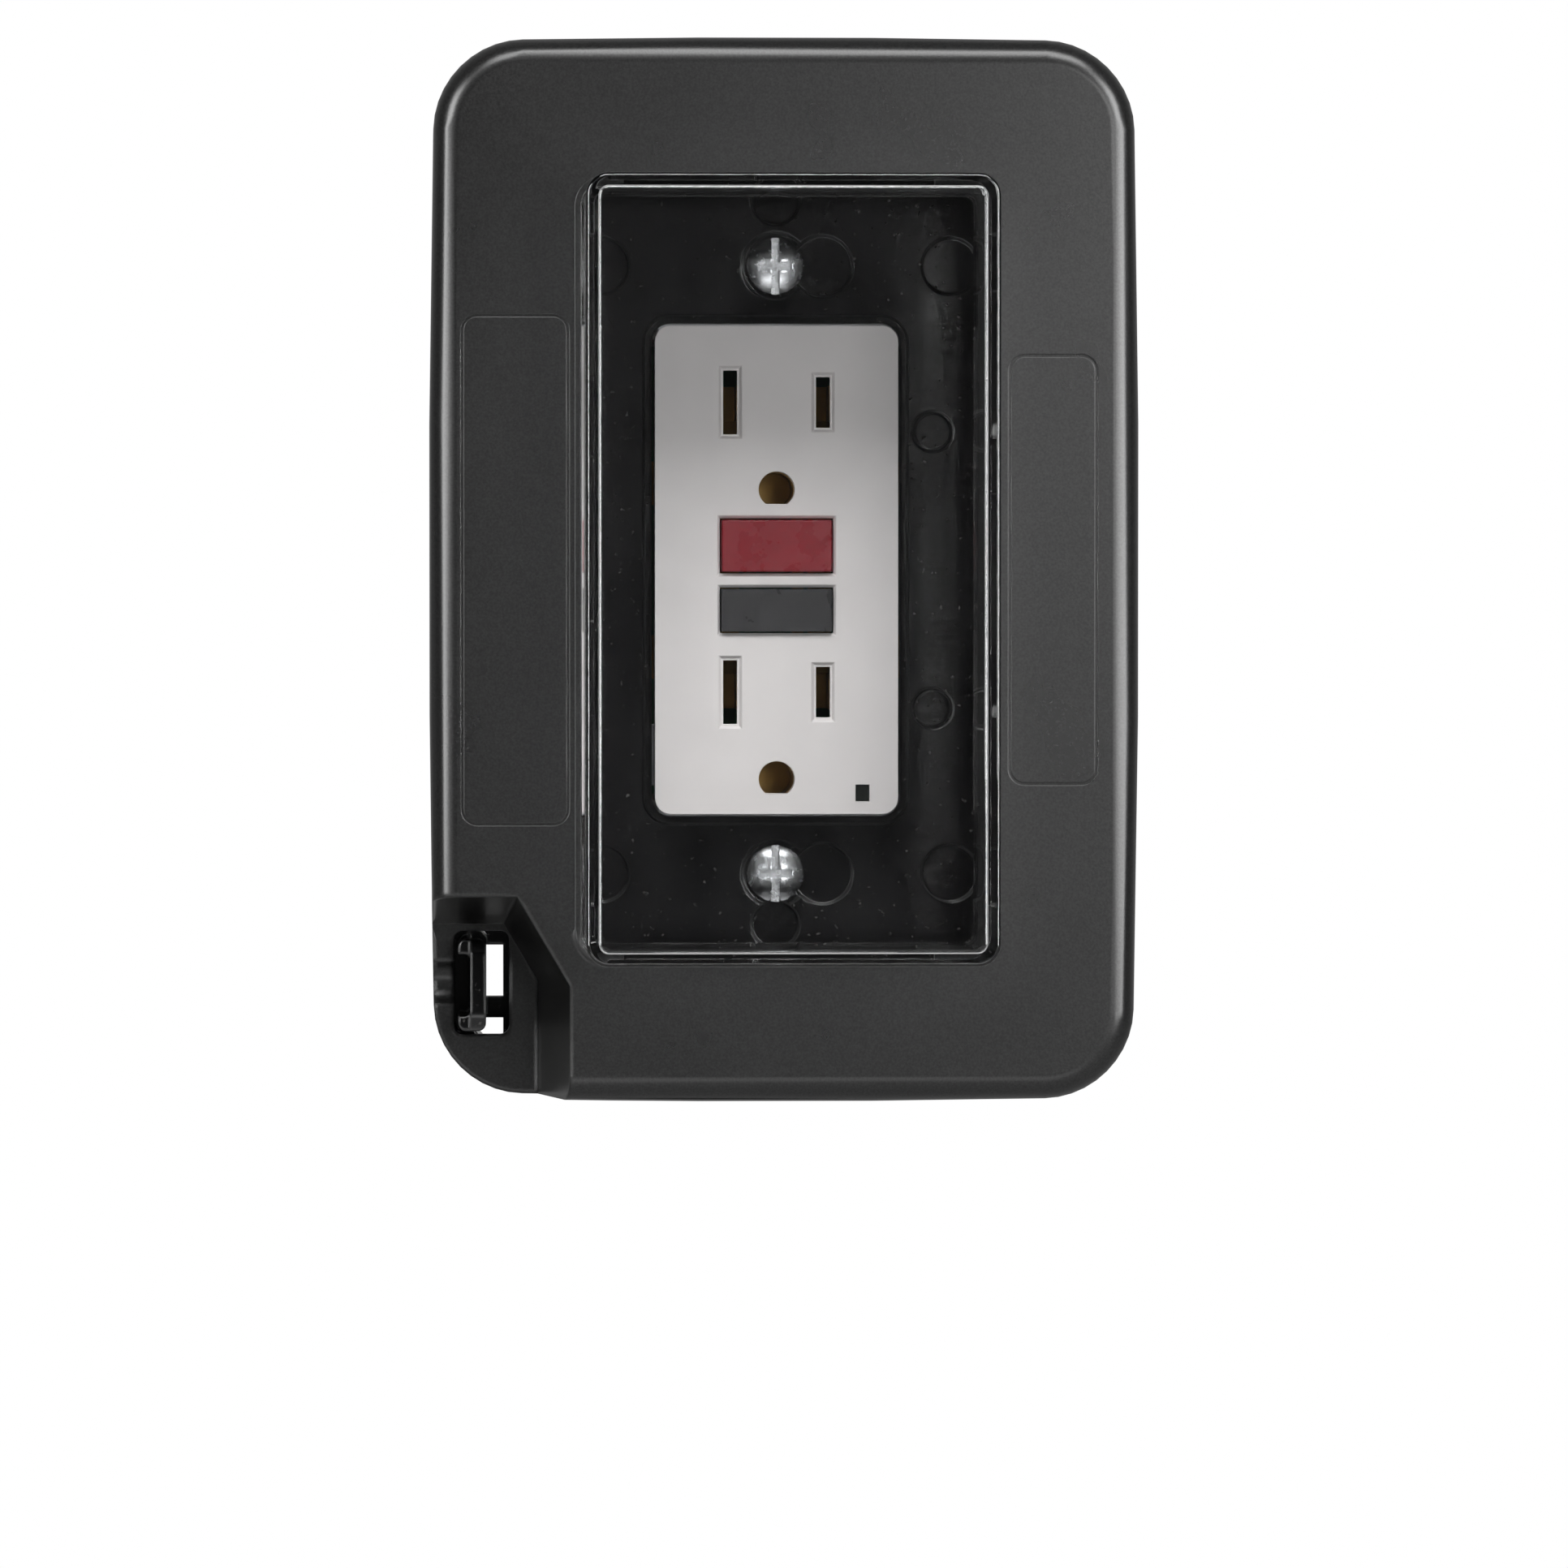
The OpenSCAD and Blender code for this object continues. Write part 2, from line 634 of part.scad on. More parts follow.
// Tongue round the tray's front edge, left open at the lock's groove
module tongue() {
  difference() {
    slab(parting_depth - eps, parting_depth + tongue_h)
      round_frame(base_w - 2 * base_wall, base_h - 2 * base_wall, base_r - base_wall, tongue_t);
    block([-base_w, parting_depth - 1, slot_z - 1], [slot_x + slot_w, parting_depth + tongue_h + 1,
      slot_z + slot_h + 1]);
  }
}

// Thick part of the side wall round a hinge pocket
module hinge_boss(zc) {
  block([hinge_x - knuckle_r - pocket_gap - hinge_pocket_wall,
         hinge_depth - knuckle_r - pocket_gap - hinge_pocket_wall, zc - hinge_len / 2 - 1.5],
        [base_w / 2, parting_depth, zc + hinge_len / 2 + 1.5]);
}

// The two ears that hold one pin
module hinge_ears(zc) {
  for (s = [-1, 1]) {
    z0 = zc + s * (lug_len / 2 + knuckle_gap + ear_len / 2) - ear_len / 2;
    knuckle(z0, z0 + ear_len);
  }
}

// Room for the lid's lug, cut through the tray's side
module hinge_pocket(zc) {
  z1 = lug_len / 2 + knuckle_gap;
  block([hinge_x - knuckle_r - pocket_gap, hinge_depth - knuckle_r - pocket_gap, zc - z1],
        [base_w / 2 + 5, parting_depth + 0.4, zc + z1]);
}

// One blind round pocket in the base plate
module screw_pocket(x, z, r) {
  post(x, z, r, floor_top - pocket_depth, floor_top + 1);
}

// Blind round pockets and shallow rings moulded into the base plate
module screw_pockets() {
  for (sx = [-1, 1], sz = [-1, 1])
    screw_pocket(sx * pocket_x, sz * screw_z, pocket_r);
  for (sz = [-1, 1]) screw_pocket(inner_pocket_x, sz * screw_z, inner_pocket_r);
  screw_pocket(0, screw_z + upper_pocket_out, end_pocket_r);
  screw_pocket(0, -screw_z - lower_pocket_out, end_pocket_r);
  for (sz = [-1, 1]) difference() {
    post(open_w / 2 + ring_out, sz * ring_z, knockout_r, floor_top - ring_line, floor_top + 1);
    post(open_w / 2 + ring_out, sz * ring_z, knockout_r - ring_line, floor_top - 1, floor_top + 2);
  }
}

// U-shaped cord port through the lower wall, open to the front
module cord_port(x) {
  r = port_w / 2;
  translate([0, 0, -base_h / 2 - 2]) linear_extrude(base_wall + 4) union() {
    translate([x, -port_depth - r]) circle(r = r);
    translate([x - r, -parting_depth - tongue_h - 1])
      square([port_w, parting_depth + tongue_h + 1 - port_depth - r]);
  }
}

// The see-through window in the base plate beside and below the padlock tab
module floor_window() {
  right = slot_x + slot_w - 0.8;
  rib = tab_z - 2.9;
  block([tab_x + tab_t, gasket_t - 1, rib], [right, floor_top + 1, tab_z + 4.2]);
  block([tab_x, gasket_t - 1, slot_z - 2], [right, floor_top + 1, rib - 2.9]);
}

// Tab of the base that stands up through the lid's slot, with a side rib at each end
module padlock_tab() {
  top = ledge_depth + tab_out;
  rib_x = slot_x + 0.6;
  translate([(rib_x + tab_x + tab_t) / 2, 0, tab_z]) difference() {
    slab(gasket_t, top) round_rect(tab_x + tab_t - rib_x, tab_h, tab_r);
    translate([-tab_t, 0, 0]) slab(gasket_t - 1, top + 1)
      round_rect(tab_x + tab_t - rib_x, tab_h - 2 * tab_rib_t, 0.8);
    for (sz = [-1, 1]) translate([0, -top, sz * tab_h / 2]) rotate([0, 90, 0]) difference() {
      cube([2 * tab_end_r, 2 * tab_end_r, 20], center = true);
      translate([sz * tab_end_r, tab_end_r, 0]) cylinder(r = tab_end_r, h = 22, center = true);
    }
    translate([-tab_t - 10 + (tab_x + tab_t - rib_x) / 2, -top - 5, -tab_h])
      cube([10, 5 + tab_rib_drop, 2 * tab_h]);
  }
}

// Hole for a padlock's shackle, along X
module padlock_hole() {
  translate([slot_x - 0.5, -hasp_depth - 1.4, tab_z]) rotate([0, 90, 0]) cylinder(r = hasp_r, h = slot_w);
}

module wall_gasket() {
  w = base_w - 2 * gasket_inset;
  h = base_h - 2 * gasket_inset;
  color("#3a3a3c") difference() {
    slab(0, gasket_t) difference() {
      round_rect(w, h, base_r + 2);
      round_rect(w - 2 * gasket_band, 2 * (screw_z + yoke_end + gasket_gap), 3);
    }
    block([-base_w, -1, -base_h], [slot_x + slot_w + 1, gasket_t + 1, tab_z + 8]);
  }
}

// Pin of one hinge
module hinge_pin(zc) {
  color("#b9bcc0") translate([hinge_x, -hinge_depth, zc - hinge_len / 2]) cylinder(r = pin_r, h = hinge_len);
}

module hinge_pin_upper() { hinge_pin(hinge_z); }
module hinge_pin_lower() { hinge_pin(-hinge_z); }

// Pocket with sloped sides in the receptacle's face, centred, as deep as it is wide at the slope
module sloped_pocket(x, z, w, h, deep) {
  translate([x, -face_depth, z]) intersection() {
    translate([0, 0, -h / 2 - deep]) linear_extrude(h + 2 * deep)
      polygon([[-w / 2, deep], [w / 2, deep], [w / 2 + 2 * deep, -deep], [-w / 2 - 2 * deep, -deep]]);
    translate([-w / 2 - deep, 0, 0]) rotate([90, 0, 90]) linear_extrude(w + 2 * deep)
      polygon([[deep, -h / 2], [deep, h / 2], [-deep, h / 2 + 2 * deep], [-deep, -h / 2 - 2 * deep]]);
  }
}

// Ground hole: round above and flat below
module ground_hole(zc) {
  intersection() {
    post(0, zc - ground_drop, ground_r, face_depth - face_front_t - 6, face_depth + 1);
    block([-ground_r - 1, face_depth - face_front_t - 7, zc - ground_drop - ground_r * 0.8],
          [ground_r + 1, face_depth + 2, zc - ground_drop + ground_r + 1]);
  }
}

// The openings of one outlet, centred at the height of its blade slots
module outlet_holes(zc) {
  for (k = [0, 1]) {
    x = (k == 0 ? -1 : 1) * slot_spacing / 2;
    h = k == 0 ? neutral_h : hot_h;
    block([x - blade_w / 2, face_depth - face_front_t - 6, zc - h / 2],
          [x + blade_w / 2, face_depth + 1, zc + h / 2]);
    sloped_pocket(x, zc, blade_w + 0.5, h + 0.5, 0.4);
  }
  ground_hole(zc);
}

module receptacle_face() {
  color("#d3cdcb") difference() {
    union() {
      difference() {
        slab(yoke_front, face_depth) round_rect(face_w, face_h, face_r);
        slab(yoke_front - 1, face_depth - face_front_t)
          round_rect(face_w - 2 * face_wall, face_h - 2 * face_wall, face_r - 0.8);
      }
      for (s = [0, 1]) ground_sleeve_boss(outlet_z(s));
    }
    for (s = [0, 1]) outlet_holes(outlet_z(s));
    for (b = [[reset_z, reset_h], [-test_drop, test_h]]) {
      sloped_pocket(0, b[0], button_w + 2 * button_gap, b[1] + 2 * button_gap, 0.4);
      block([-button_w / 2 - button_gap, face_depth - 3, b[0] - b[1] / 2 - button_gap],
            [button_w / 2 + button_gap, face_depth + 1, b[0] + b[1] / 2 + button_gap]);
    }
    block([lens_x - lens_w / 2, face_depth - 3, lens_z - lens_h / 2],
          [lens_x + lens_w / 2, face_depth + 1, lens_z + lens_h / 2]);
  }
}

// Boss behind a ground hole, which guides the ground pin
module ground_sleeve_boss(zc) {
  post(0, zc - ground_drop, ground_r + 1, face_depth - face_front_t - 1.6, face_depth - face_front_t + eps);
}

// Rear housing: an open tray with side bays for the terminal screws
module receptacle_body() {
  color("#c9c4c0") difference() {
    union() {
      difference() {
        slab(-body_depth, yoke_back) round_rect(body_w, face_h, 2.5);
        slab(-body_depth + body_wall, yoke_back + 1)
          round_rect(body_w - 2 * body_wall, face_h - 2 * body_wall, 1.2);
      }
      for (sx = [-1, 1], sz = [-1, 1])
        post(sx * (board_w / 2 - 3), sz * (board_h / 2 - 3), board_post_r, -body_depth + body_wall - eps,
             board_depth - 0.05);
    }
    for (sx = [-1, 1], s = [0, 1])
      block([sx * body_w / 2 - 3, terminal_depth - 5, terminal_z(s) - 5.2],
            [sx * body_w / 2 + 3, terminal_depth + 5, terminal_z(s) + 5.2]);
    block([-body_w / 2 - 1, terminal_depth - 4.5, ground_screw_z - 4.7],
          [-body_w / 2 + 3, terminal_depth + 4.5, ground_screw_z + 4.7]);
  }
}

// Steel strap that carries the receptacle, with an ear at each end
module yoke() {
  color("#bfc2c6") union() {
    difference() {
      slab(yoke_back, yoke_front) yoke_outline();
      for (sz = [-1, 1]) post(0, sz * screw_z, screw_r + screw_gap, yoke_back - 1, yoke_front + 1);
    }
    difference() {
      block([-body_w / 2 - yoke_t - 2, terminal_depth - 4, ground_screw_z - 4.2],
            [-body_w / 2 - 2, yoke_front, ground_screw_z + 4.2]);
      thread_hole(-1, body_w / 2 + 2, ground_screw_z);
    }
    block([-body_w / 2 - yoke_t - 2, yoke_back, ground_screw_z - 4.2],
          [-face_w / 2 + 1, yoke_front, ground_screw_z + 4.2]);
    block([strap_x + 0.4, yoke_back, -board_h / 2 - 1], [strap_x + 2, yoke_front, -board_h / 2 + 1.6]);
  }
}

// Hole along X for a terminal screw's thread
module thread_hole(side, x, z) {
  translate([side * (x - 1), -terminal_depth, z]) rotate([0, side * 90, 0])
    cylinder(r = binding_thread_r + 0.1, h = yoke_t + 2);
}

module yoke_outline() {
  difference() {
    union() {
      square([face_w - 1, face_h + 1], center = true);
      round_rect(20, 2 * (screw_z + yoke_end), 4);
    }
    square([face_w - 2 * face_wall - 2.4, board_h + 0.6], center = true);
  }
}

// A button: its cap in the face, a collar behind the face and a stem down to the board
module button(z, h) {
  block([-button_w / 2, face_depth - face_front_t - 0.4, z - h / 2],
        [button_w / 2, face_depth + button_out, z + h / 2]);
  block([-0.43 * button_w, button_foot + 1.8, z - 1.4],
        [0.43 * button_w, face_depth - face_front_t - 0.3, z + 1.4]);
  block([-button_w / 2 - 0.6, face_depth - face_front_t - 1.4, z - h / 2],
        [button_w / 2 + 0.6, face_depth - face_front_t - 0.1, z + h / 2]);
  post(0, z, stem_r, button_foot + 1.8 - stem_reach, button_foot + 1.8 + eps);
}

module reset_button() { color("#a02a38") button(reset_z, reset_h); }
module test_button() { color("#2b2b2e") button(-test_drop, test_h); }

// Coil spring under a button, from the board up to the button's collar
module button_spring(z) {
  turns = 6;
  steps = 10;
  sides = 6;
  low = spring_low + spring_wire / 2 + 0.1;
  high = button_foot + 1.8 - spring_wire / 2 - 0.1;
  n = turns * steps;
  color("#c4c6c8") polyhedron(
    points = [
      for (i = [0:n]) let (a = 360 * i / steps, d = low + (high - low) * i / n)
        for (j = [0:sides - 1])
          let (r = spring_r + spring_wire / 2 * cos(360 * j / sides),
               e = spring_wire / 2 * sin(360 * j / sides))
            [r * cos(a), -d - e, z + r * sin(a)]],
    faces = concat(
      [[for (j = [sides - 1:-1:0]) j]],
      [for (i = [0:n - 1], j = [0:sides - 1])
        [i * sides + j, i * sides + (j + 1) % sides, (i + 1) * sides + (j + 1) % sides, (i + 1) * sides + j]],
      [[for (j = [0:sides - 1]) n * sides + j]]));
}

module reset_spring() { button_spring(reset_z); }
module test_spring() { button_spring(-test_drop); }

module indicator_lens() {
  color("#e8f0e8", 0.5) union() {
    block([lens_x - lens_w / 2 + 0.05, face_depth - face_front_t - 0.6, lens_z - lens_h / 2 + 0.05],
          [lens_x + lens_w / 2 - 0.05, face_depth - 0.3, lens_z + lens_h / 2 - 0.05]);
    block([lens_x - lens_w / 2 - 0.5, face_depth - face_front_t - 1, lens_z - lens_h / 2 + 0.05],
          [lens_x + lens_w / 2 + 0.5, face_depth - face_front_t - 0.05, lens_z + lens_h / 2 + 0.5]);
  }
}

module circuit_board() {
  color("#2e6b45") difference() {
    slab(board_depth, board_depth + board_t) square([board_w, board_h], center = true);
    for (z = [reset_z, -test_drop]) post(0, z, 0.8, board_depth - 1, board_depth + board_t + 1);
  }
}

// Ring of the current sensor, under the board
module sensing_coil() {
  color("#b5702f") translate([0, -board_depth + 0.05, -face_h / 4 + 1]) rotate([-90, 0, 0]) rotate_extrude()
    translate([coil_r, 0]) difference() {
      translate([-coil_w / 2, 0]) square([coil_w, coil_h]);
      translate([-coil_w / 2 - 0.1, coil_h - 0.6]) square([0.6, 1]);
    }
}

// Trip solenoid, under the board
module trip_solenoid() {
  plate = 0.11 * solenoid_r;
  color("#8c8f94") translate([0, -board_depth + solenoid_r + plate + 0.05, reset_z + 5]) union() {
    cylinder(r = solenoid_r, h = solenoid_len);
    for (h = [-2 * plate, solenoid_len]) translate([-solenoid_r - plate, -solenoid_r - plate, h])
      cube([2 * (solenoid_r + plate), 2 * (solenoid_r + plate), 2 * plate]);
    translate([0, 0, -0.4 * solenoid_len]) cylinder(r = 0.3 * solenoid_r, h = 0.4 * solenoid_len);
  }
}

// One spring jaw of a blade contact: a foot and two leaves that stand beside the blade
module blade_jaw(x, zc) {
  leaf = 0.75 * contact_t;
  for (s = [-1, 1])
    block([x + s * (blade_w + leaf) / 2 - leaf / 2, jaw_foot - eps, zc - jaw_h / 2],
          [x + s * (blade_w + leaf) / 2 + leaf / 2, jaw_top, zc + jaw_h / 2]);
  block([x - blade_w / 2 - leaf, jaw_foot - leaf, zc - jaw_h / 2],
        [x + blade_w / 2 + leaf, jaw_foot, zc + jaw_h / 2]);
}

// Bus bar with a jaw for each outlet and a wing out to each terminal screw
module contacts(side) {
  x = side * slot_spacing / 2;
  wing = side * wing_x;
  bar_top = jaw_foot - 0.6 * contact_t;
  bar_low = bar_top - contact_t;
  for (s = [0, 1]) blade_jaw(x, outlet_z(s));
  block([x - 1.6, bar_low, outlet_z(0) - jaw_h / 2], [x + 1.6, bar_top, outlet_z(1) + jaw_h / 2]);
  for (s = [0, 1]) {
    block([min(x, wing), bar_low, terminal_z(s) - 3], [max(x, wing), bar_top, terminal_z(s) + 3]);
    difference() {
      block([min(wing, wing - side * contact_t), terminal_depth - 3, terminal_z(s) - 3],
            [max(wing, wing - side * contact_t), bar_top, terminal_z(s) + 3]);
      thread_hole(side, wing_x - contact_t, terminal_z(s));
    }
  }
}

module hot_contacts() { color("#c9a24a") contacts(1); }
module neutral_contacts() { color("#c9a24a") contacts(-1); }

// Brass strap between the two ground sleeves, with an end folded up to the yoke
module ground_strap() {
  top = yoke_back;
  color("#c9a24a") difference() {
    union() {
      for (s = [0, 1])
        post(0, outlet_z(s) - ground_drop, sleeve_r, jaw_foot - 1, jaw_top);
      block([strap_x, jaw_foot - 3, -board_h / 2 + 0.3],
            [strap_x + strap_w, jaw_foot - 3 + contact_t, outlet_z(1)]);
      for (s = [0, 1])
        block([-1.7, jaw_foot - 3, outlet_z(s) - ground_drop - 1.7],
              [strap_x + strap_w, jaw_foot - 0.9, outlet_z(s) - ground_drop + 1.7]);
      block([strap_x + 0.4, jaw_foot - 3, -board_h / 2 + 0.3],
            [strap_x + strap_w, top, -board_h / 2 + 0.3 + contact_t]);
    }
    for (s = [0, 1]) post(0, outlet_z(s) - ground_drop, ground_r - 0.1, jaw_foot, jaw_top + 1);
  }
}

// Binding screw of a terminal, along X, with its slot
module binding_screw(side, x, depth, z, r) {
  translate([x, -depth, z]) rotate([0, side * 90, 0]) difference() {
    union() {
      cylinder(r = r, h = binding_t);
      translate([0, 0, -binding_len]) cylinder(r = binding_thread_r, h = binding_len + eps);
    }
    translate([-r - 1, -0.5, binding_t - 0.8]) cube([2 * r + 2, 1, 2]);
  }
}

module terminal_screws(side) {
  for (s = [0, 1]) binding_screw(side, side * (wing_x + 0.05), terminal_depth, terminal_z(s), binding_r);
}

module hot_terminal_screws() { color("#c9a24a") terminal_screws(1); }
module neutral_terminal_screws() { color("#c7c9cc") terminal_screws(-1); }

module ground_screw() {
  color("#3f7a4c")
    binding_screw(-1, -body_w / 2 - 2 - yoke_t - 0.05, terminal_depth, ground_screw_z, ground_head_r);
}

// Mounting screw with a domed head that takes a flat or a cross blade
module mounting_screw(z) {
  dome = 1.1;
  color("#c8cacc") difference() {
    union() {
      post(0, z, screw_r, -screw_reach, -neck_in);
      post(0, z, screw_r - neck_in, -neck_in - eps, head_seat + eps);
      post(0, z, head_r, head_seat, head_seat + head_t - dome);
      intersection() {
        post(0, z, head_r, head_seat, head_seat + head_t);
        translate([0, -(head_seat + head_t - (head_r * head_r + dome * dome) / (2 * dome)), z])
          sphere(r = (head_r * head_r + dome * dome) / (2 * dome), $fn = 96);
      }
    }
    block([-0.55, head_seat + head_t - 1.3, z - head_r - 1], [0.55, head_seat + head_t + 1, z + head_r + 1]);
    block([-2.3, head_seat + head_t - 1.5, z - 0.55], [2.3, head_seat + head_t + 1, z + 0.55]);
  }
}

module mounting_screw_top() { mounting_screw(screw_z); }
module mounting_screw_bottom() { mounting_screw(-screw_z); }

wall_gasket();
base();
lid();
hood();
hinge_pin_upper();
hinge_pin_lower();
receptacle_face();
receptacle_body();
yoke();
reset_button();
test_button();
reset_spring();
test_spring();
indicator_lens();
circuit_board();
sensing_coil();
trip_solenoid();
hot_contacts();
neutral_contacts();
ground_strap();
hot_terminal_screws();
neutral_terminal_screws();
ground_screw();
mounting_screw_top();
mounting_screw_bottom();
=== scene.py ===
# %% [markdown]
# # A weatherproof in-use outlet cover
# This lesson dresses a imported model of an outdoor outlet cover: a satin black lid, a clear hood that
# slides out of it, a glossy base behind, and a pale receptacle with a red and a black button.
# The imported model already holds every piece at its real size. The cells below give each piece its
# rounded edges, its surface and its light.

# %% The frame
import json
import math
import bmesh
import bpy
import numpy as np
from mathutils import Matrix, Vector


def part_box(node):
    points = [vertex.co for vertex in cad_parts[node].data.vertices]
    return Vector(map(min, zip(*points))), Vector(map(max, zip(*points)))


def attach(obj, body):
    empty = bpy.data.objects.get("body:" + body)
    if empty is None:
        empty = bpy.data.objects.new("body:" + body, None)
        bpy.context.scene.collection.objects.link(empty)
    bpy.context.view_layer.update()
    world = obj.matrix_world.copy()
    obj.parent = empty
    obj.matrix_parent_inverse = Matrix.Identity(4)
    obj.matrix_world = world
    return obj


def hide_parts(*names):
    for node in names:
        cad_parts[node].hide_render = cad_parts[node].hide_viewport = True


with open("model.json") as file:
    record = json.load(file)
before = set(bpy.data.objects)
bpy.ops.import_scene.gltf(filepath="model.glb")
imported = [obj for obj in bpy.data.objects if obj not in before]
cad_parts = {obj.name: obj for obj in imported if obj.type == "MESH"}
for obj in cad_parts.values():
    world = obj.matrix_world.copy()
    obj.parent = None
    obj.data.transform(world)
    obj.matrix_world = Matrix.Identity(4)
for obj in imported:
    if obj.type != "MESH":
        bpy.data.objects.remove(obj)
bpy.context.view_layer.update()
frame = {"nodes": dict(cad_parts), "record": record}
MM = 0.001

# %% [markdown]
# ## Sizes read from the frame
# The wall is the plane y = 0, and the front of the cover faces the other way, along -y. The sizes
# that the cells need come from the boxes of the lid and the hood, so that they follow the packed
# model. The record says which body carries each node and which finish the node wears.

# %% Sizes
lid_low, lid_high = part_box("lid")
hood_low, hood_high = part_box("hood")
bodies = frame["record"]["behaviour"]["bodies"]
body_of = {node: body for body, members in bodies.items() for node in members}
slot_of = {part["node"]: part["material_slot"] for part in frame["record"]["subparts"]}
print("lid is", [round((b - a) / MM, 1) for a, b in zip(lid_low, lid_high)], "mm")
print("hood is", [round((b - a) / MM, 1) for a, b in zip(hood_low, hood_high)], "mm")

# %% [markdown]
# ## Camera
# The photograph was taken with a long lens from a little over a metre away, nearly square on. The
# camera stands a little to the left of the cover's middle, turns two degrees back to the right, and
# looks just below the middle. It comes first, because the light is judged through it.

# %% Camera
CAMERA_AT = Vector((-0.0377, -1.223, 0.0))
LOOK_ALONG = Vector((0.0319, 1.0, -0.0241))
LENS_MM = 203.9
SENSOR_MM = 36.0


def add_to_scene(name, data):
    """A new object in the scene, at the origin, that holds a mesh, a lamp or a camera."""
    thing = bpy.data.objects.new(name, data)
    bpy.context.scene.collection.objects.link(thing)
    return thing


def stand_at(thing, at, along):
    """Puts a camera or a lamp at a point, looking along a direction with its top upwards."""
    thing.location = at
    thing.rotation_mode = "QUATERNION"
    thing.rotation_quaternion = along.to_track_quat("-Z", "Y")


camera_data = bpy.data.cameras.new("camera")
camera_data.lens = LENS_MM
camera_data.sensor_width = SENSOR_MM
camera_data.clip_start = 0.05
camera_data.clip_end = 60.0
camera = add_to_scene("camera", camera_data)
stand_at(camera, CAMERA_AT, LOOK_ALONG)
bpy.context.scene.camera = camera
bpy.context.scene.view_settings.view_transform = "Standard"
print("camera is", round(CAMERA_AT.length, 3), "m from the middle of the cover, on the wall")

# %% [markdown]
# ## A small kit for node materials
# Each finish is a Principled shader whose colour, roughness and relief are made by noise. The noise
# reads Object coordinates, so it stays on a piece that moves.

# %% Material kit
FINISHES = {}  # each material under the name of the slot that wears it
EDGE_SAMPLES = 8  # rays by which a softened edge is felt
FADE_MM = 1.0  # way over which wide soft edges give way to narrow ones


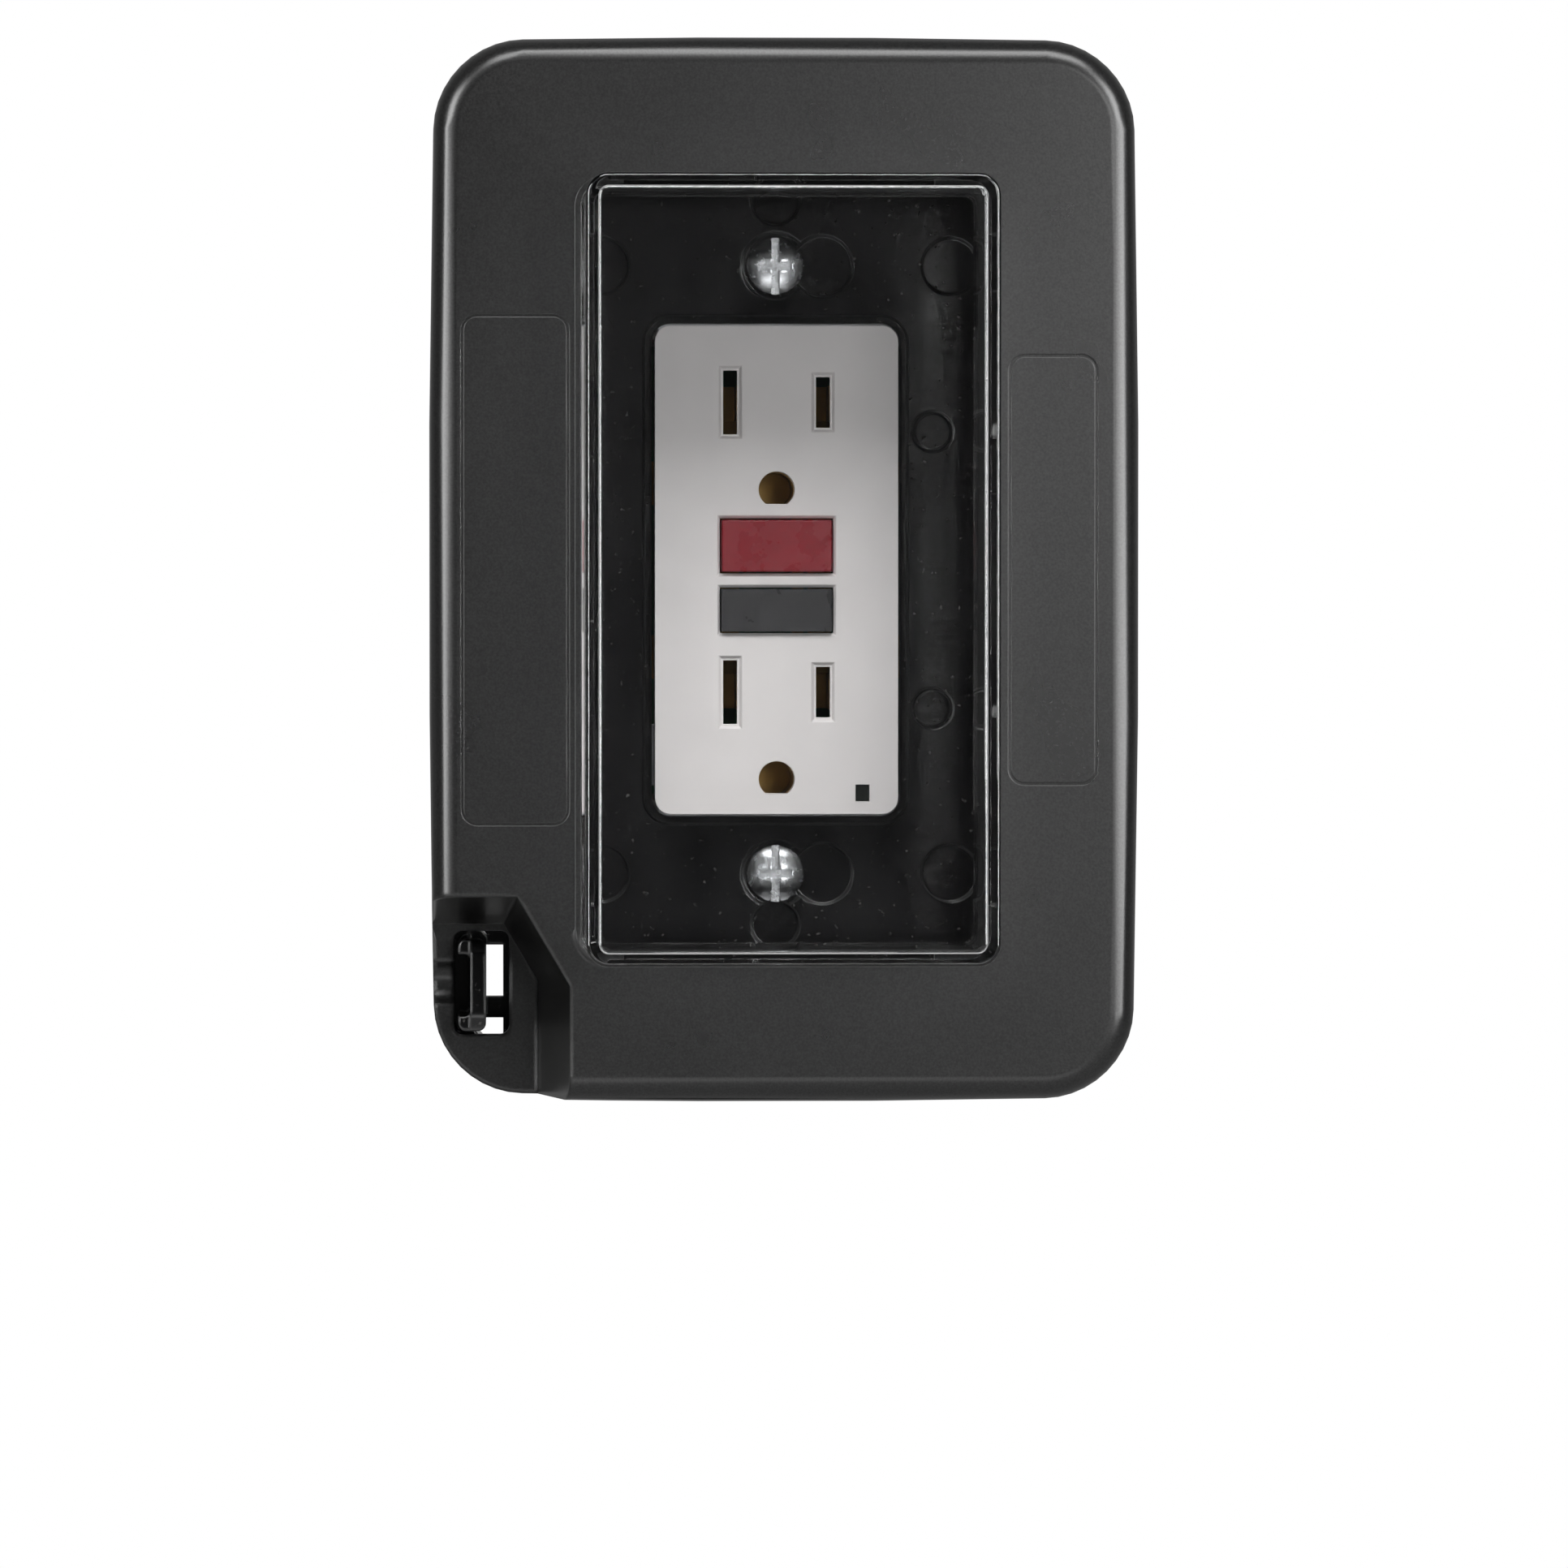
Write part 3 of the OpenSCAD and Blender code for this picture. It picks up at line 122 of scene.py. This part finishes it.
class Finish:
    """A new material, with short ways to add nodes to it and to join them."""

    def __init__(self, name, colour, roughness, metallic=0.0):
        self.name = name
        self.material = bpy.data.materials.new(name)
        self.material.use_nodes = True
        self.nodes = self.material.node_tree.nodes
        self.links = self.material.node_tree.links
        self.shader = self.nodes["Principled BSDF"]
        self.shader.inputs["Base Color"].default_value = (*colour, 1.0)
        self.shader.inputs["Roughness"].default_value = roughness
        self.shader.inputs["Metallic"].default_value = metallic
        self.place = self.add("ShaderNodeTexCoord").outputs["Object"]

    def add(self, kind, **values):
        """Adds a node and sets the named inputs on it."""
        node = self.nodes.new(kind)
        for key, value in values.items():
            node.inputs[key].default_value = value
        return node

    def join(self, out, into):
        """Joins an output to an input."""
        self.links.new(out, into)

    def noise(self, size_mm, detail=3.0, stretch=(1, 1, 1)):
        """Noise whose blobs are about size_mm wide, stretched along each axis by its factor."""
        mapping = self.add("ShaderNodeMapping")
        mapping.inputs["Scale"].default_value = [1.0 / s for s in stretch]
        self.join(self.place, mapping.inputs["Vector"])
        noise = self.add("ShaderNodeTexNoise", Scale=1.0 / (size_mm * MM), Detail=detail)
        self.join(mapping.outputs["Vector"], noise.inputs["Vector"])
        return noise.outputs["Fac"]

    def spread(self, value, low, high, start=0.3, end=0.7):
        """Maps a value running from start to end onto low to high."""
        node = self.add("ShaderNodeMapRange")
        node.inputs["From Min"].default_value = start
        node.inputs["From Max"].default_value = end
        node.inputs["To Min"].default_value = low
        node.inputs["To Max"].default_value = high
        self.join(value, node.inputs["Value"])
        return node.outputs["Result"]

    def tint(self, value, dark, light, start=0.3, end=0.7):
        """Base colour running from dark to light as the value runs from start to end."""
        ramp = self.add("ShaderNodeValToRGB")
        first, last = ramp.color_ramp.elements
        first.position, first.color = start, (*dark, 1.0)
        last.position, last.color = end, (*light, 1.0)
        self.join(value, ramp.inputs["Fac"])
        self.join(ramp.outputs["Color"], self.shader.inputs["Base Color"])

    def rough(self, value, low, high, start=0.3, end=0.7):
        """Roughness running from low to high as the value runs from start to end."""
        self.join(self.spread(value, low, high, start, end), self.shader.inputs["Roughness"])

    def soften(self, radius_mm, wide_mm=None, corner=None, reach_mm=0.0):
        """Lets the light turn round every edge over radius_mm. It comes before any relief.
        Within reach_mm of the corner, the edges turn over wide_mm instead."""
        edge = self.add("ShaderNodeBevel", Radius=radius_mm * MM)
        edge.samples = EDGE_SAMPLES
        if corner is not None:
            away = self.add("ShaderNodeVectorMath")
            away.operation = "DISTANCE"
            self.join(self.place, away.inputs[0])
            away.inputs[1].default_value = corner
            near, far = reach_mm * MM, (reach_mm + FADE_MM) * MM
            radius = self.spread(away.outputs["Value"], wide_mm * MM, radius_mm * MM, near, far)
            self.join(radius, edge.inputs["Radius"])
        self.turned = edge.outputs["Normal"]
        self.join(self.turned, self.shader.inputs["Normal"])

    def paint_edge_highlight(self, light, start, end):
        """Paints a highlight into the colour along softened edges: fully lighter where the cosine
        between the softened normal and the piece's own falls to start, not at all where it reaches
        end. It comes after the tint."""
        turn = self.add("ShaderNodeVectorMath")
        turn.operation = "DOT_PRODUCT"
        self.join(self.turned, turn.inputs[0])
        self.join(self.add("ShaderNodeNewGeometry").outputs["Normal"], turn.inputs[1])
        # the painted highlight's colour is mixed over the tint along the edges
        mix = self.add("ShaderNodeMixRGB", Color2=(*light, 1.0))
        colour = self.shader.inputs["Base Color"]
        self.join(self.spread(turn.outputs["Value"], 1.0, 0.0, start, end), mix.inputs["Fac"])
        self.join(colour.links[0].from_socket, mix.inputs["Color1"])
        self.join(mix.outputs["Color"], colour)

    def bump(self, value, depth_mm, strength=1.0):
        """Relief of about depth_mm. A second call stacks on the first."""
        node = self.add("ShaderNodeBump", Strength=strength, Distance=depth_mm * MM)
        self.join(value, node.inputs["Height"])
        normal = self.shader.inputs["Normal"]
        if normal.is_linked:
            self.join(normal.links[0].from_socket, node.inputs["Normal"])
        self.join(node.outputs["Normal"], normal)

    def show_where(self, factor, other):
        """Shows another shader where the factor is 1, and the finish's own where it is 0."""
        mix = self.add("ShaderNodeMixShader")
        self.join(factor, mix.inputs["Fac"])
        self.join(self.shader.outputs["BSDF"], mix.inputs[1])
        self.join(other, mix.inputs[2])
        self.join(mix.outputs["Shader"], self.nodes["Material Output"].inputs["Surface"])

    def keep(self):
        """Keeps the material under the finish's name, and says how many nodes it took."""
        FINISHES[self.name] = self.material
        print(self.name, "has", len(self.nodes), "nodes")


def srgb(*levels):
    """Scene-linear colour of display levels from 0 to 255, by the two-part display curve."""
    shares = [level / 255 for level in levels]
    return tuple(v / 12.92 if v <= 0.04045 else ((v + 0.055) / 1.055) ** 2.4 for v in shares)


# %% [markdown]
# ## Moulded black plastics
# The lid comes out of a mould with a fine spark-eroded texture, so it is satin: the grain is a few
# hundredths of a millimetre deep and much smaller than a millimetre. Its edges are crisp, but those
# round the lock corner, where a hand pulls, are well rounded. There the light alone turns wider,
# because a bevel of that width would swallow the low collar round the lid's opening.

# %% Lid plastic
LOCK_REACH = 29.5  # mm from the lid's lower left front corner to the crest of the lock corner


def lid_plastic():
    """Satin black, with a fine grain."""
    finish = Finish("lid_plastic", srgb(22, 22, 22), 0.28)
    finish.soften(0.15, wide_mm=1.0, corner=lid_low, reach_mm=LOCK_REACH)
    grain = finish.noise(0.3)
    cloud = finish.noise(14.0)
    finish.tint(grain, srgb(8, 8, 8), srgb(34, 34, 34))
    finish.rough(cloud, 0.272, 0.286)
    finish.bump(grain, 0.02, 0.3)
    finish.keep()


lid_plastic()

# %% [markdown]
# The base is the same resin out of a polished mould, so it is glossy. It shows faint flow marks and
# specks of dust, and its edges carry a painted highlight: their colour is lightened along each round.

# %% Base plastic
def base_plastic():
    """Glossy black, with flow marks, dust and a painted highlight along the edges."""
    finish = Finish("base_plastic", srgb(16, 16, 17), 0.2)
    finish.soften(0.6)
    flow = finish.noise(9.0, 2.0, (1, 1, 3))
    dust = finish.noise(0.8)
    finish.tint(dust, srgb(8, 8, 9), srgb(82, 81, 79), 0.66, 0.76)
    # painted highlight: the colour is lightened along the softened edges, where the light would catch
    # them
    finish.paint_edge_highlight(srgb(66, 66, 66), 0.82, 0.985)
    finish.rough(flow, 0.12, 0.2)
    finish.bump(flow, 0.06, 0.3)
    finish.bump(dust, 0.006, 0.2)
    finish.keep()


base_plastic()

# %% [markdown]
# ## Clear hood plastic
# Polycarbonate is clear through its thin wall and bends light by its real index of 1.585. Cycles
# needs a closed wall with both skins for that, which the hood has. Lamps shine straight through it,
# so that the receptacle behind is lit. Fine scuffs keep it from looking like a new window.

# %% Hood plastic
POLYCARBONATE_INDEX = 1.585


def clear_plastic():
    """Clear to the eye, with scuffs, and open to the lamps' light."""
    finish = Finish("clear_plastic", (0.975, 0.98, 0.98), 0.03)
    finish.shader.inputs["Transmission Weight"].default_value = 1.0
    finish.shader.inputs["IOR"].default_value = POLYCARBONATE_INDEX
    finish.shader.inputs["Specular IOR Level"].default_value = 0.18
    scuff = finish.noise(6.0, 5.0)
    finish.rough(scuff, 0.0, 0.03, 0.5, 0.9)
    path = finish.add("ShaderNodeLightPath")
    lit = finish.add("ShaderNodeMath")
    lit.operation = "MAXIMUM"
    finish.join(path.outputs["Is Shadow Ray"], lit.inputs[0])
    finish.join(path.outputs["Is Diffuse Ray"], lit.inputs[1])
    clear = finish.add("ShaderNodeBsdfTransparent", Color=(0.98, 0.985, 0.985, 1.0))
    finish.show_where(lit.outputs["Value"], clear.outputs["BSDF"])
    finish.keep()


clear_plastic()

# %% [markdown]
# ## Receptacle plastics
# The receptacle's thermoplastic is pale and smooth, its buttons are moulded in solid colour, and the
# status lens and the circuit board are as smooth. They differ in colour, gloss and mottling only, so
# one recipe makes them all from a short table.

# %% Smooth plastics
SMOOTH_PLASTICS = {  # colour, roughness, and the share by which the colour varies
    "receptacle_plastic": (srgb(229, 224, 223), 0.34, 0.03),
    "housing_plastic": (srgb(196, 191, 188), 0.42, 0.03),
    "reset_plastic": (srgb(134, 18, 32), 0.28, 0.06),
    "test_plastic": (srgb(36, 35, 37), 0.3, 0.08),
    "lens_plastic": (srgb(34, 36, 34), 0.12, 0.03),
    "board_laminate": (srgb(30, 92, 56), 0.35, 0.1),
}


def smooth_plastic(name, colour, roughness, mottle):
    """A moulded plastic: slight colour clouds, uneven gloss and a very soft orange peel."""
    finish = Finish(name, colour, roughness)
    dark = tuple(c * (1 - mottle) for c in colour)
    light = tuple(min(1.0, c * (1 + mottle)) for c in colour)
    finish.tint(finish.noise(8.0), dark, light)
    finish.rough(finish.noise(3.0, 4.0), roughness * 0.85, roughness * 1.2)
    finish.bump(finish.noise(0.35, 2.0), 0.012, 0.35)
    finish.keep()


for name, look in SMOOTH_PLASTICS.items():
    smooth_plastic(name, *look)

# %% [markdown]
# ## Metals
# The screws are zinc-plated steel, the pins, springs and yoke are steel, the contacts are brass and
# the coil is copper. A metal's marks run the way it was drawn or rolled, so its noise is stretched.

# %% Metals
METALS = {  # colour, roughness, and how far the marks are stretched along x, y and z
    "pin_steel": ((0.62, 0.63, 0.65), 0.25, (1, 1, 12)),
    "yoke_steel": ((0.6, 0.61, 0.63), 0.34, (1, 1, 8)),
    "spring_steel": ((0.6, 0.61, 0.62), 0.25, (1, 1, 1)),
    "screw_zinc": ((0.74, 0.75, 0.77), 0.24, (1, 1, 1)),
    "screw_green": ((0.08, 0.28, 0.12), 0.35, (1, 1, 1)),
    "contact_brass": ((0.3, 0.19, 0.07), 0.4, (1, 1, 6)),
    "coil_copper": ((0.62, 0.3, 0.14), 0.35, (1, 8, 1)),
    "solenoid_steel": ((0.4, 0.41, 0.43), 0.35, (1, 1, 1)),
}


def worked_metal(name, colour, roughness, lay):
    """A plated or bare metal with fine tool marks that run along the stretched axis."""
    finish = Finish(name, colour, roughness, 1.0)
    marks = finish.noise(0.9, 3.0, lay)
    finish.tint(finish.noise(4.0, 2.0), tuple(c * 0.92 for c in colour), colour)
    finish.rough(marks, roughness * 0.9, roughness * 1.2)
    finish.bump(marks, 0.003, 0.2)
    finish.keep()


for name, look in METALS.items():
    worked_metal(name, *look)

# %% [markdown]
# ## Gasket foam
# The gasket is closed-cell foam. Its cells are round pits of under a millimetre, and the distance
# to the nearest point of a Voronoi pattern gives just such pits.

# %% Foam
FOAM_CELL = 0.7  # mm across one cell


def gasket_foam():
    """Dull dark grey, pitted by cells, with painted shade that darkens each pit towards its bottom."""
    finish = Finish("gasket_foam", srgb(44, 44, 46), 0.9)
    pattern = finish.add("ShaderNodeTexVoronoi", Scale=1.0 / (FOAM_CELL * MM))
    finish.join(finish.place, pattern.inputs["Vector"])
    pits = pattern.outputs["Distance"]
    # painted shade: the colour darkens towards the bottom of each pit, following the relief's depth
    finish.tint(pits, srgb(30, 30, 31), srgb(54, 54, 56))
    finish.bump(pits, 0.25, 0.8)
    finish.keep()


gasket_foam()
print("finishes:", len(FINISHES))

# %% [markdown]
# ## Rounded edges for the rigid pieces
# No real edge is perfectly sharp: it catches a thin line of light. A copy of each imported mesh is
# merged, its flat faces are joined, and a small bevel rounds its edges. The copy then stands for the
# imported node. Its normals are weighted by face area, so that the flat faces stay flat in the light
# and only the rounds bend it.

# %% Edge rounding
MERGE_AT = 1e-6  # metres under which two points are one
FLAT_DEG = 0.6  # faces that turn by less than this are one flat face
SHARP_DEG = 32.0  # edges that turn by more than this are rounded


def stand_for(piece, node):
    """Gives a piece its node's finish, flat normals on its large faces, and the node's place."""
    piece.data.materials.append(FINISHES[slot_of[node]])
    flat = piece.modifiers.new("flat_faces", "WEIGHTED_NORMAL")
    flat.mode = "FACE_AREA"
    flat.weight = 100
    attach(piece, body_of[node])
    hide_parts(node)


def rounded_copy(node, radius_mm, segments):
    """Merged copy of a node, with every sharp edge rounded by radius_mm in so many segments."""
    mesh = bpy.data.meshes.new(node + "_moulded")
    work = bmesh.new()
    work.from_mesh(frame["nodes"][node].data)
    bmesh.ops.remove_doubles(work, verts=work.verts, dist=MERGE_AT)
    bmesh.ops.dissolve_limit(
        work, angle_limit=math.radians(FLAT_DEG), verts=work.verts, edges=work.edges)
    work.to_mesh(mesh)
    work.free()
    mesh.shade_smooth()
    piece = add_to_scene(node + "_moulded", mesh)
    bevel = piece.modifiers.new("edges", "BEVEL")
    bevel.width = radius_mm * MM
    bevel.segments = segments
    bevel.limit_method = "ANGLE"
    bevel.angle_limit = math.radians(SHARP_DEG)
    bevel.use_clamp_overlap = True
    stand_for(piece, node)
    return piece


# %% [markdown]
# Each node has its own radius in mm and its number of segments. What the eye meets first, the
# receptacle's face and buttons, gets three segments, and the thinnest pieces get one.

# %% Rounded pieces
ROUNDED = {
    "lid": (0.12, 2),
    "base": (0.3, 2),
    "receptacle_face": (0.2, 3),
    "reset_button": (0.25, 3),
    "test_button": (0.25, 3),
    "mounting_screw_top": (0.12, 2),
    "mounting_screw_bottom": (0.12, 2),
    "receptacle_body": (0.4, 2),
    "yoke": (0.12, 2),
    "hinge_pin_upper": (0.2, 2),
    "hinge_pin_lower": (0.2, 2),
    "wall_gasket": (0.2, 2),
    "indicator_lens": (0.1, 2),
    "circuit_board": (0.08, 1),
    "sensing_coil": (0.3, 2),
    "trip_solenoid": (0.2, 2),
    "hot_contacts": (0.08, 1),
    "neutral_contacts": (0.08, 1),
    "ground_strap": (0.08, 1),
    "hot_terminal_screws": (0.12, 2),
    "neutral_terminal_screws": (0.12, 2),
    "ground_screw": (0.12, 2),
}
for node, (radius_mm, segments) in ROUNDED.items():
    piece = rounded_copy(node, radius_mm, segments)
    print(node, "rounded by", radius_mm, "mm,", len(piece.data.polygons), "faces before the bevel")

# %% [markdown]
# ## The hood as one smooth skin
# The hood is a thin box that is open behind. Its section is a profile: over the rolled front edge,
# down the wall, out over the flange, round its foot and back up the inside. Each profile point is an
# inset from the outer wall and a height above the rear edge. Carried round the box, it gives rings.
# A ring at inset q is the rounded rectangle of half sizes (a - q, b - q): with (cx, cz) the corner's
# centre and t the angle, its corner runs as x = cx + r cos t, z = cz + r sin t. Its walls are kept
# flat in the light too, because a wall whose normals turn bends what is seen through it, as a lens
# does.

# %% Hood profile
FLANGE_OUT = 2.0  # mm by which the flange stands out of the wall
FLANGE_T = 2.0  # mm, thickness of the flange
HOOD_WALL = 1.6  # mm, thickness of the clear wall
HOOD_CORNER = 3.0  # mm, radius of the box's four corners, seen from the front
LEAST_CORNER = 0.35  # mm, the smallest radius that a ring's corners come to
hood_middle = (hood_high + hood_low) / MM / 2
hood_size = (hood_high - hood_low) / MM
half_width = hood_size[0] / 2 - FLANGE_OUT
half_height = hood_size[2] / 2 - FLANGE_OUT
hood_depth = hood_size[1]


def arc(centre, radius, start, stop, steps):
    """Points of an arc in the plane of the profile, angles in degrees from the outward direction."""
    t = np.radians(np.linspace(start, stop, steps + 1))
    return np.stack([centre[0] - radius * np.cos(t), centre[1] + radius * np.sin(t)], -1)


def hood_profile(roll=0.6, inner_roll=0.5, edge=0.3, fillet=0.3, margin=0.5, outer=4.0, inner=3.0):
    """The hood's section as (inset, height) points, from the front face outwards and back inside.
    The arcs are the front roll, the fillet on the flange, the flange's two edges, the wall's inner
    rear edge and the inner roll. The single points keep the stretches between them straight: they
    stand by margin beside the rolls, and outer and inner mm behind the front on the wall."""
    d, w = hood_depth, HOOD_WALL
    parts = [
        [(roll + margin, d)],
        arc((roll, d - roll), roll, 90, 0, 10),
        [(0.0, d - outer), (0.0, FLANGE_T + 2 * fillet)],
        arc((-fillet, FLANGE_T + fillet), fillet, 180, 270, 3),
        arc((edge - FLANGE_OUT, FLANGE_T - edge), edge, 90, 0, 3),
        arc((edge - FLANGE_OUT, edge), edge, 0, -90, 3),
        arc((w - edge, edge), edge, 270, 180, 3),
        [(w, d - w - inner_roll - inner)],
        arc((w + inner_roll, d - w - inner_roll), inner_roll, 0, 90, 6),
        [(w + inner_roll + margin, d - w)],
    ]
    return np.concatenate([np.asarray(part, float).reshape(-1, 2) for part in parts])


def rounded_ring(inset, corner_steps=12):
    """One ring of the hood: a rounded rectangle whose corner radius shrinks with the inset."""
    a, b, r = half_width - inset, half_height - inset, max(HOOD_CORNER - inset, LEAST_CORNER)
    t = np.radians(np.linspace(0, 90, corner_steps + 1))
    quarter = np.stack([a - r + r * np.cos(t), b - r + r * np.sin(t)], -1)
    flip = quarter[::-1]
    return np.concatenate([quarter, flip * [-1, 1], quarter * [-1, -1], flip * [1, -1]])


profile = hood_profile()
print("hood profile:", len(profile), "points, from", profile[0], "to", profile[-1])

# %% [markdown]
# The rings are then joined by quads, as the hoops of a barrel are by its staves. The front face is
# the cap on the first ring outside and on the last ring inside.

# %% Hood
def ring_faces(rows, columns):
    """Quads between each ring and the next: point j of ring i has the number i columns + j."""
    i, j = np.meshgrid(np.arange(rows - 1), np.arange(columns), indexing="ij")
    near, far = i * columns, (i + 1) * columns
    beside = (j + 1) % columns
    return np.stack([near + j, far + j, far + beside, near + beside], -1).reshape(-1, 4).tolist()


def capped_skin(name, rings):
    """A closed piece through the rings, with a cap on the first and the last one, faces outwards."""
    rows, columns = rings.shape[:2]
    faces = ring_faces(rows, columns)
    faces.append(list(range(columns)))
    faces.append(list(range((rows - 1) * columns, rows * columns))[::-1])
    mesh = bpy.data.meshes.new(name)
    mesh.from_pydata((rings.reshape(-1, 3) * MM).tolist(), [], faces)
    mesh.validate()
    work = bmesh.new()
    work.from_mesh(mesh)
    bmesh.ops.recalc_face_normals(work, faces=work.faces)
    work.to_mesh(mesh)
    work.free()
    mesh.shade_smooth()
    return add_to_scene(name, mesh)


def hood_rings():
    """The ring at each profile point: x and z from the rounded rectangle, y from the height."""
    flat = np.stack([rounded_ring(inset) for inset in profile[:, 0]])
    x = hood_middle[0] + flat[..., 0]
    z = hood_middle[2] + flat[..., 1]
    y = np.broadcast_to(hood_high[1] / MM - profile[:, 1:], x.shape)
    return np.stack([x, y, z], -1)


rings = hood_rings()
hood = capped_skin("hood_moulded", rings)
stand_for(hood, "hood")
print("hood rings:", rings.shape[0], "of", rings.shape[1], "points")

# %% [markdown]
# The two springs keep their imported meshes. Their wire is round already, and the motion model
# squeezes them when a button is pressed, so they are only given their finish.

# %% Springs
for node, piece in frame["nodes"].items():
    if node in ROUNDED or node == "hood":
        continue
    piece.data.materials.clear()
    piece.data.materials.append(FINISHES[slot_of[node]])
    print(node, "wears", slot_of[node])

# %% [markdown]
# ## Light and surroundings
# A product photographer lights black plastic with large soft panels, because what one sees of it is
# mostly their reflection. A panel on each side draws the lines along the rolled edges, and a weak
# one lies low for the edges that face down. These three are seen in reflections only, so that the
# pale receptacle isn't burnt out when the lid swings open. One panel hangs above. The last stands
# just beside the camera, up to the right: it lights the deep inside, and its soft gleam makes the
# lid's upper right the brightest part of the face.

# %% Lamps
LID_MIDDLE = Vector((0, -0.04, 0))
PANELS = {  # place in metres, width and height in metres, watts, and whether it shows as gleam only
    "left_panel": ((-1.0, -0.95, 0.26), (0.5, 0.9), 19, True),
    "right_panel": ((0.9, -0.95, 0.26), (0.5, 0.9), 19, True),
    "top_panel": ((0.1, -0.9, 1.1), (1.3, 0.5), 21, False),
    "low_panel": ((-0.25, -0.9, -0.46), (1.3, 0.26), 1.6, True),
    "front_panel": ((0.34, -1.15, 0.12), (0.35, 0.35), 2.3, False),
}


def panel(name, at, size, watts, gleam_only):
    """A rectangular soft lamp that faces the lid, or only its gleam on shiny surfaces."""
    data = bpy.data.lights.new(name, "AREA")
    data.shape = "RECTANGLE"
    data.size, data.size_y = size
    data.energy = watts
    lamp = add_to_scene(name, data)
    stand_at(lamp, at, LID_MIDDLE - Vector(at))
    lamp.visible_diffuse = not gleam_only


for name, place_and_power in PANELS.items():
    panel(name, *place_and_power)

# %% [markdown]
# The backdrop is white to the camera. What the plastic mirrors or lets through is another matter: in
# a studio it is dim in front, where the camera stands, and bright behind. So each kind of ray finds
# its own strength, and what is mirrored or let through grows along y from the front to the back.

# %% World
FRONT_Y, BACK_Y = -0.2, 0.6  # of the ray's direction, where the strength starts and stops growing
SOFT_LIGHT = (0.46, 0.46)  # strength in front and behind, for the light on the object
LAYERS = {  # the same two strengths for each kind of ray that finds its own
    "Is Glossy Ray": (0.025, 0.35),
    "Is Transmission Ray": (0.02, 0.72),
    "Is Camera Ray": (1.0, 1.0),
}


def backdrop(nodes, links, away, strengths):
    """A white backdrop whose strength runs from the first value in front to the second behind."""
    ramp = nodes.new("ShaderNodeMapRange")
    ramp.inputs["From Min"].default_value, ramp.inputs["From Max"].default_value = FRONT_Y, BACK_Y
    ramp.inputs["To Min"].default_value, ramp.inputs["To Max"].default_value = strengths
    links.new(away, ramp.inputs["Value"])
    white = nodes.new("ShaderNodeBackground")
    white.inputs["Color"].default_value = (1.0, 1.0, 1.0, 1.0)
    links.new(ramp.outputs["Result"], white.inputs["Strength"])
    return white.outputs["Background"]


def studio_world():
    """Lays the backdrops over each other, each one seen by its own kind of ray."""
    world = bpy.data.worlds.new("studio")
    bpy.context.scene.world = world
    world.use_nodes = True
    nodes, links = world.node_tree.nodes, world.node_tree.links
    nodes.clear()
    path = nodes.new("ShaderNodeLightPath")
    direction = nodes.new("ShaderNodeTexCoord")
    split = nodes.new("ShaderNodeSeparateXYZ")
    links.new(direction.outputs["Generated"], split.inputs["Vector"])
    away = split.outputs["Y"]
    seen = backdrop(nodes, links, away, SOFT_LIGHT)
    for ray, strengths in LAYERS.items():
        mix = nodes.new("ShaderNodeMixShader")
        links.new(path.outputs[ray], mix.inputs["Fac"])
        links.new(seen, mix.inputs[1])
        links.new(backdrop(nodes, links, away, strengths), mix.inputs[2])
        seen = mix.outputs["Shader"]
    links.new(seen, nodes.new("ShaderNodeOutputWorld").inputs["Surface"])


studio_world()
print("the world has", len(LAYERS) + 1, "layers")

# %% [markdown]
# ## Floor
# The cover hangs on its wall, so the floor is far below and out of the picture. It is plain and
# pale, and to the camera it is the same white as the background.

# %% Floor
FLOOR_Z = -0.62  # metres under the middle of the cover
FLOOR_RADIUS = 6.0
FLOOR_GREY = (0.5, 0.5, 0.5)


def floor_finish():
    """Matte grey to the light, and white to the camera."""
    finish = Finish("pale_floor", FLOOR_GREY, 0.9)
    path = finish.add("ShaderNodeLightPath")
    glow = finish.add("ShaderNodeEmission")
    finish.show_where(path.outputs["Is Camera Ray"], glow.outputs["Emission"])
    return finish.material


def pale_floor(circles=8, spokes=48):
    """A round disc as a polar grid: x = r cos a, y = r sin a."""
    r, a = np.meshgrid(np.linspace(MM, FLOOR_RADIUS, circles),
                       np.linspace(0, 2 * np.pi, spokes, endpoint=False), indexing="ij")
    points = np.stack([r * np.cos(a), r * np.sin(a), np.full_like(r, FLOOR_Z)], -1).reshape(-1, 3)
    mesh = bpy.data.meshes.new("floor")
    mesh.from_pydata(points.tolist(), [], ring_faces(circles, spokes))
    mesh.materials.append(floor_finish())
    floor = add_to_scene("floor", mesh)


pale_floor()
print("floor at", FLOOR_Z, "m,", FLOOR_RADIUS, "m in radius")
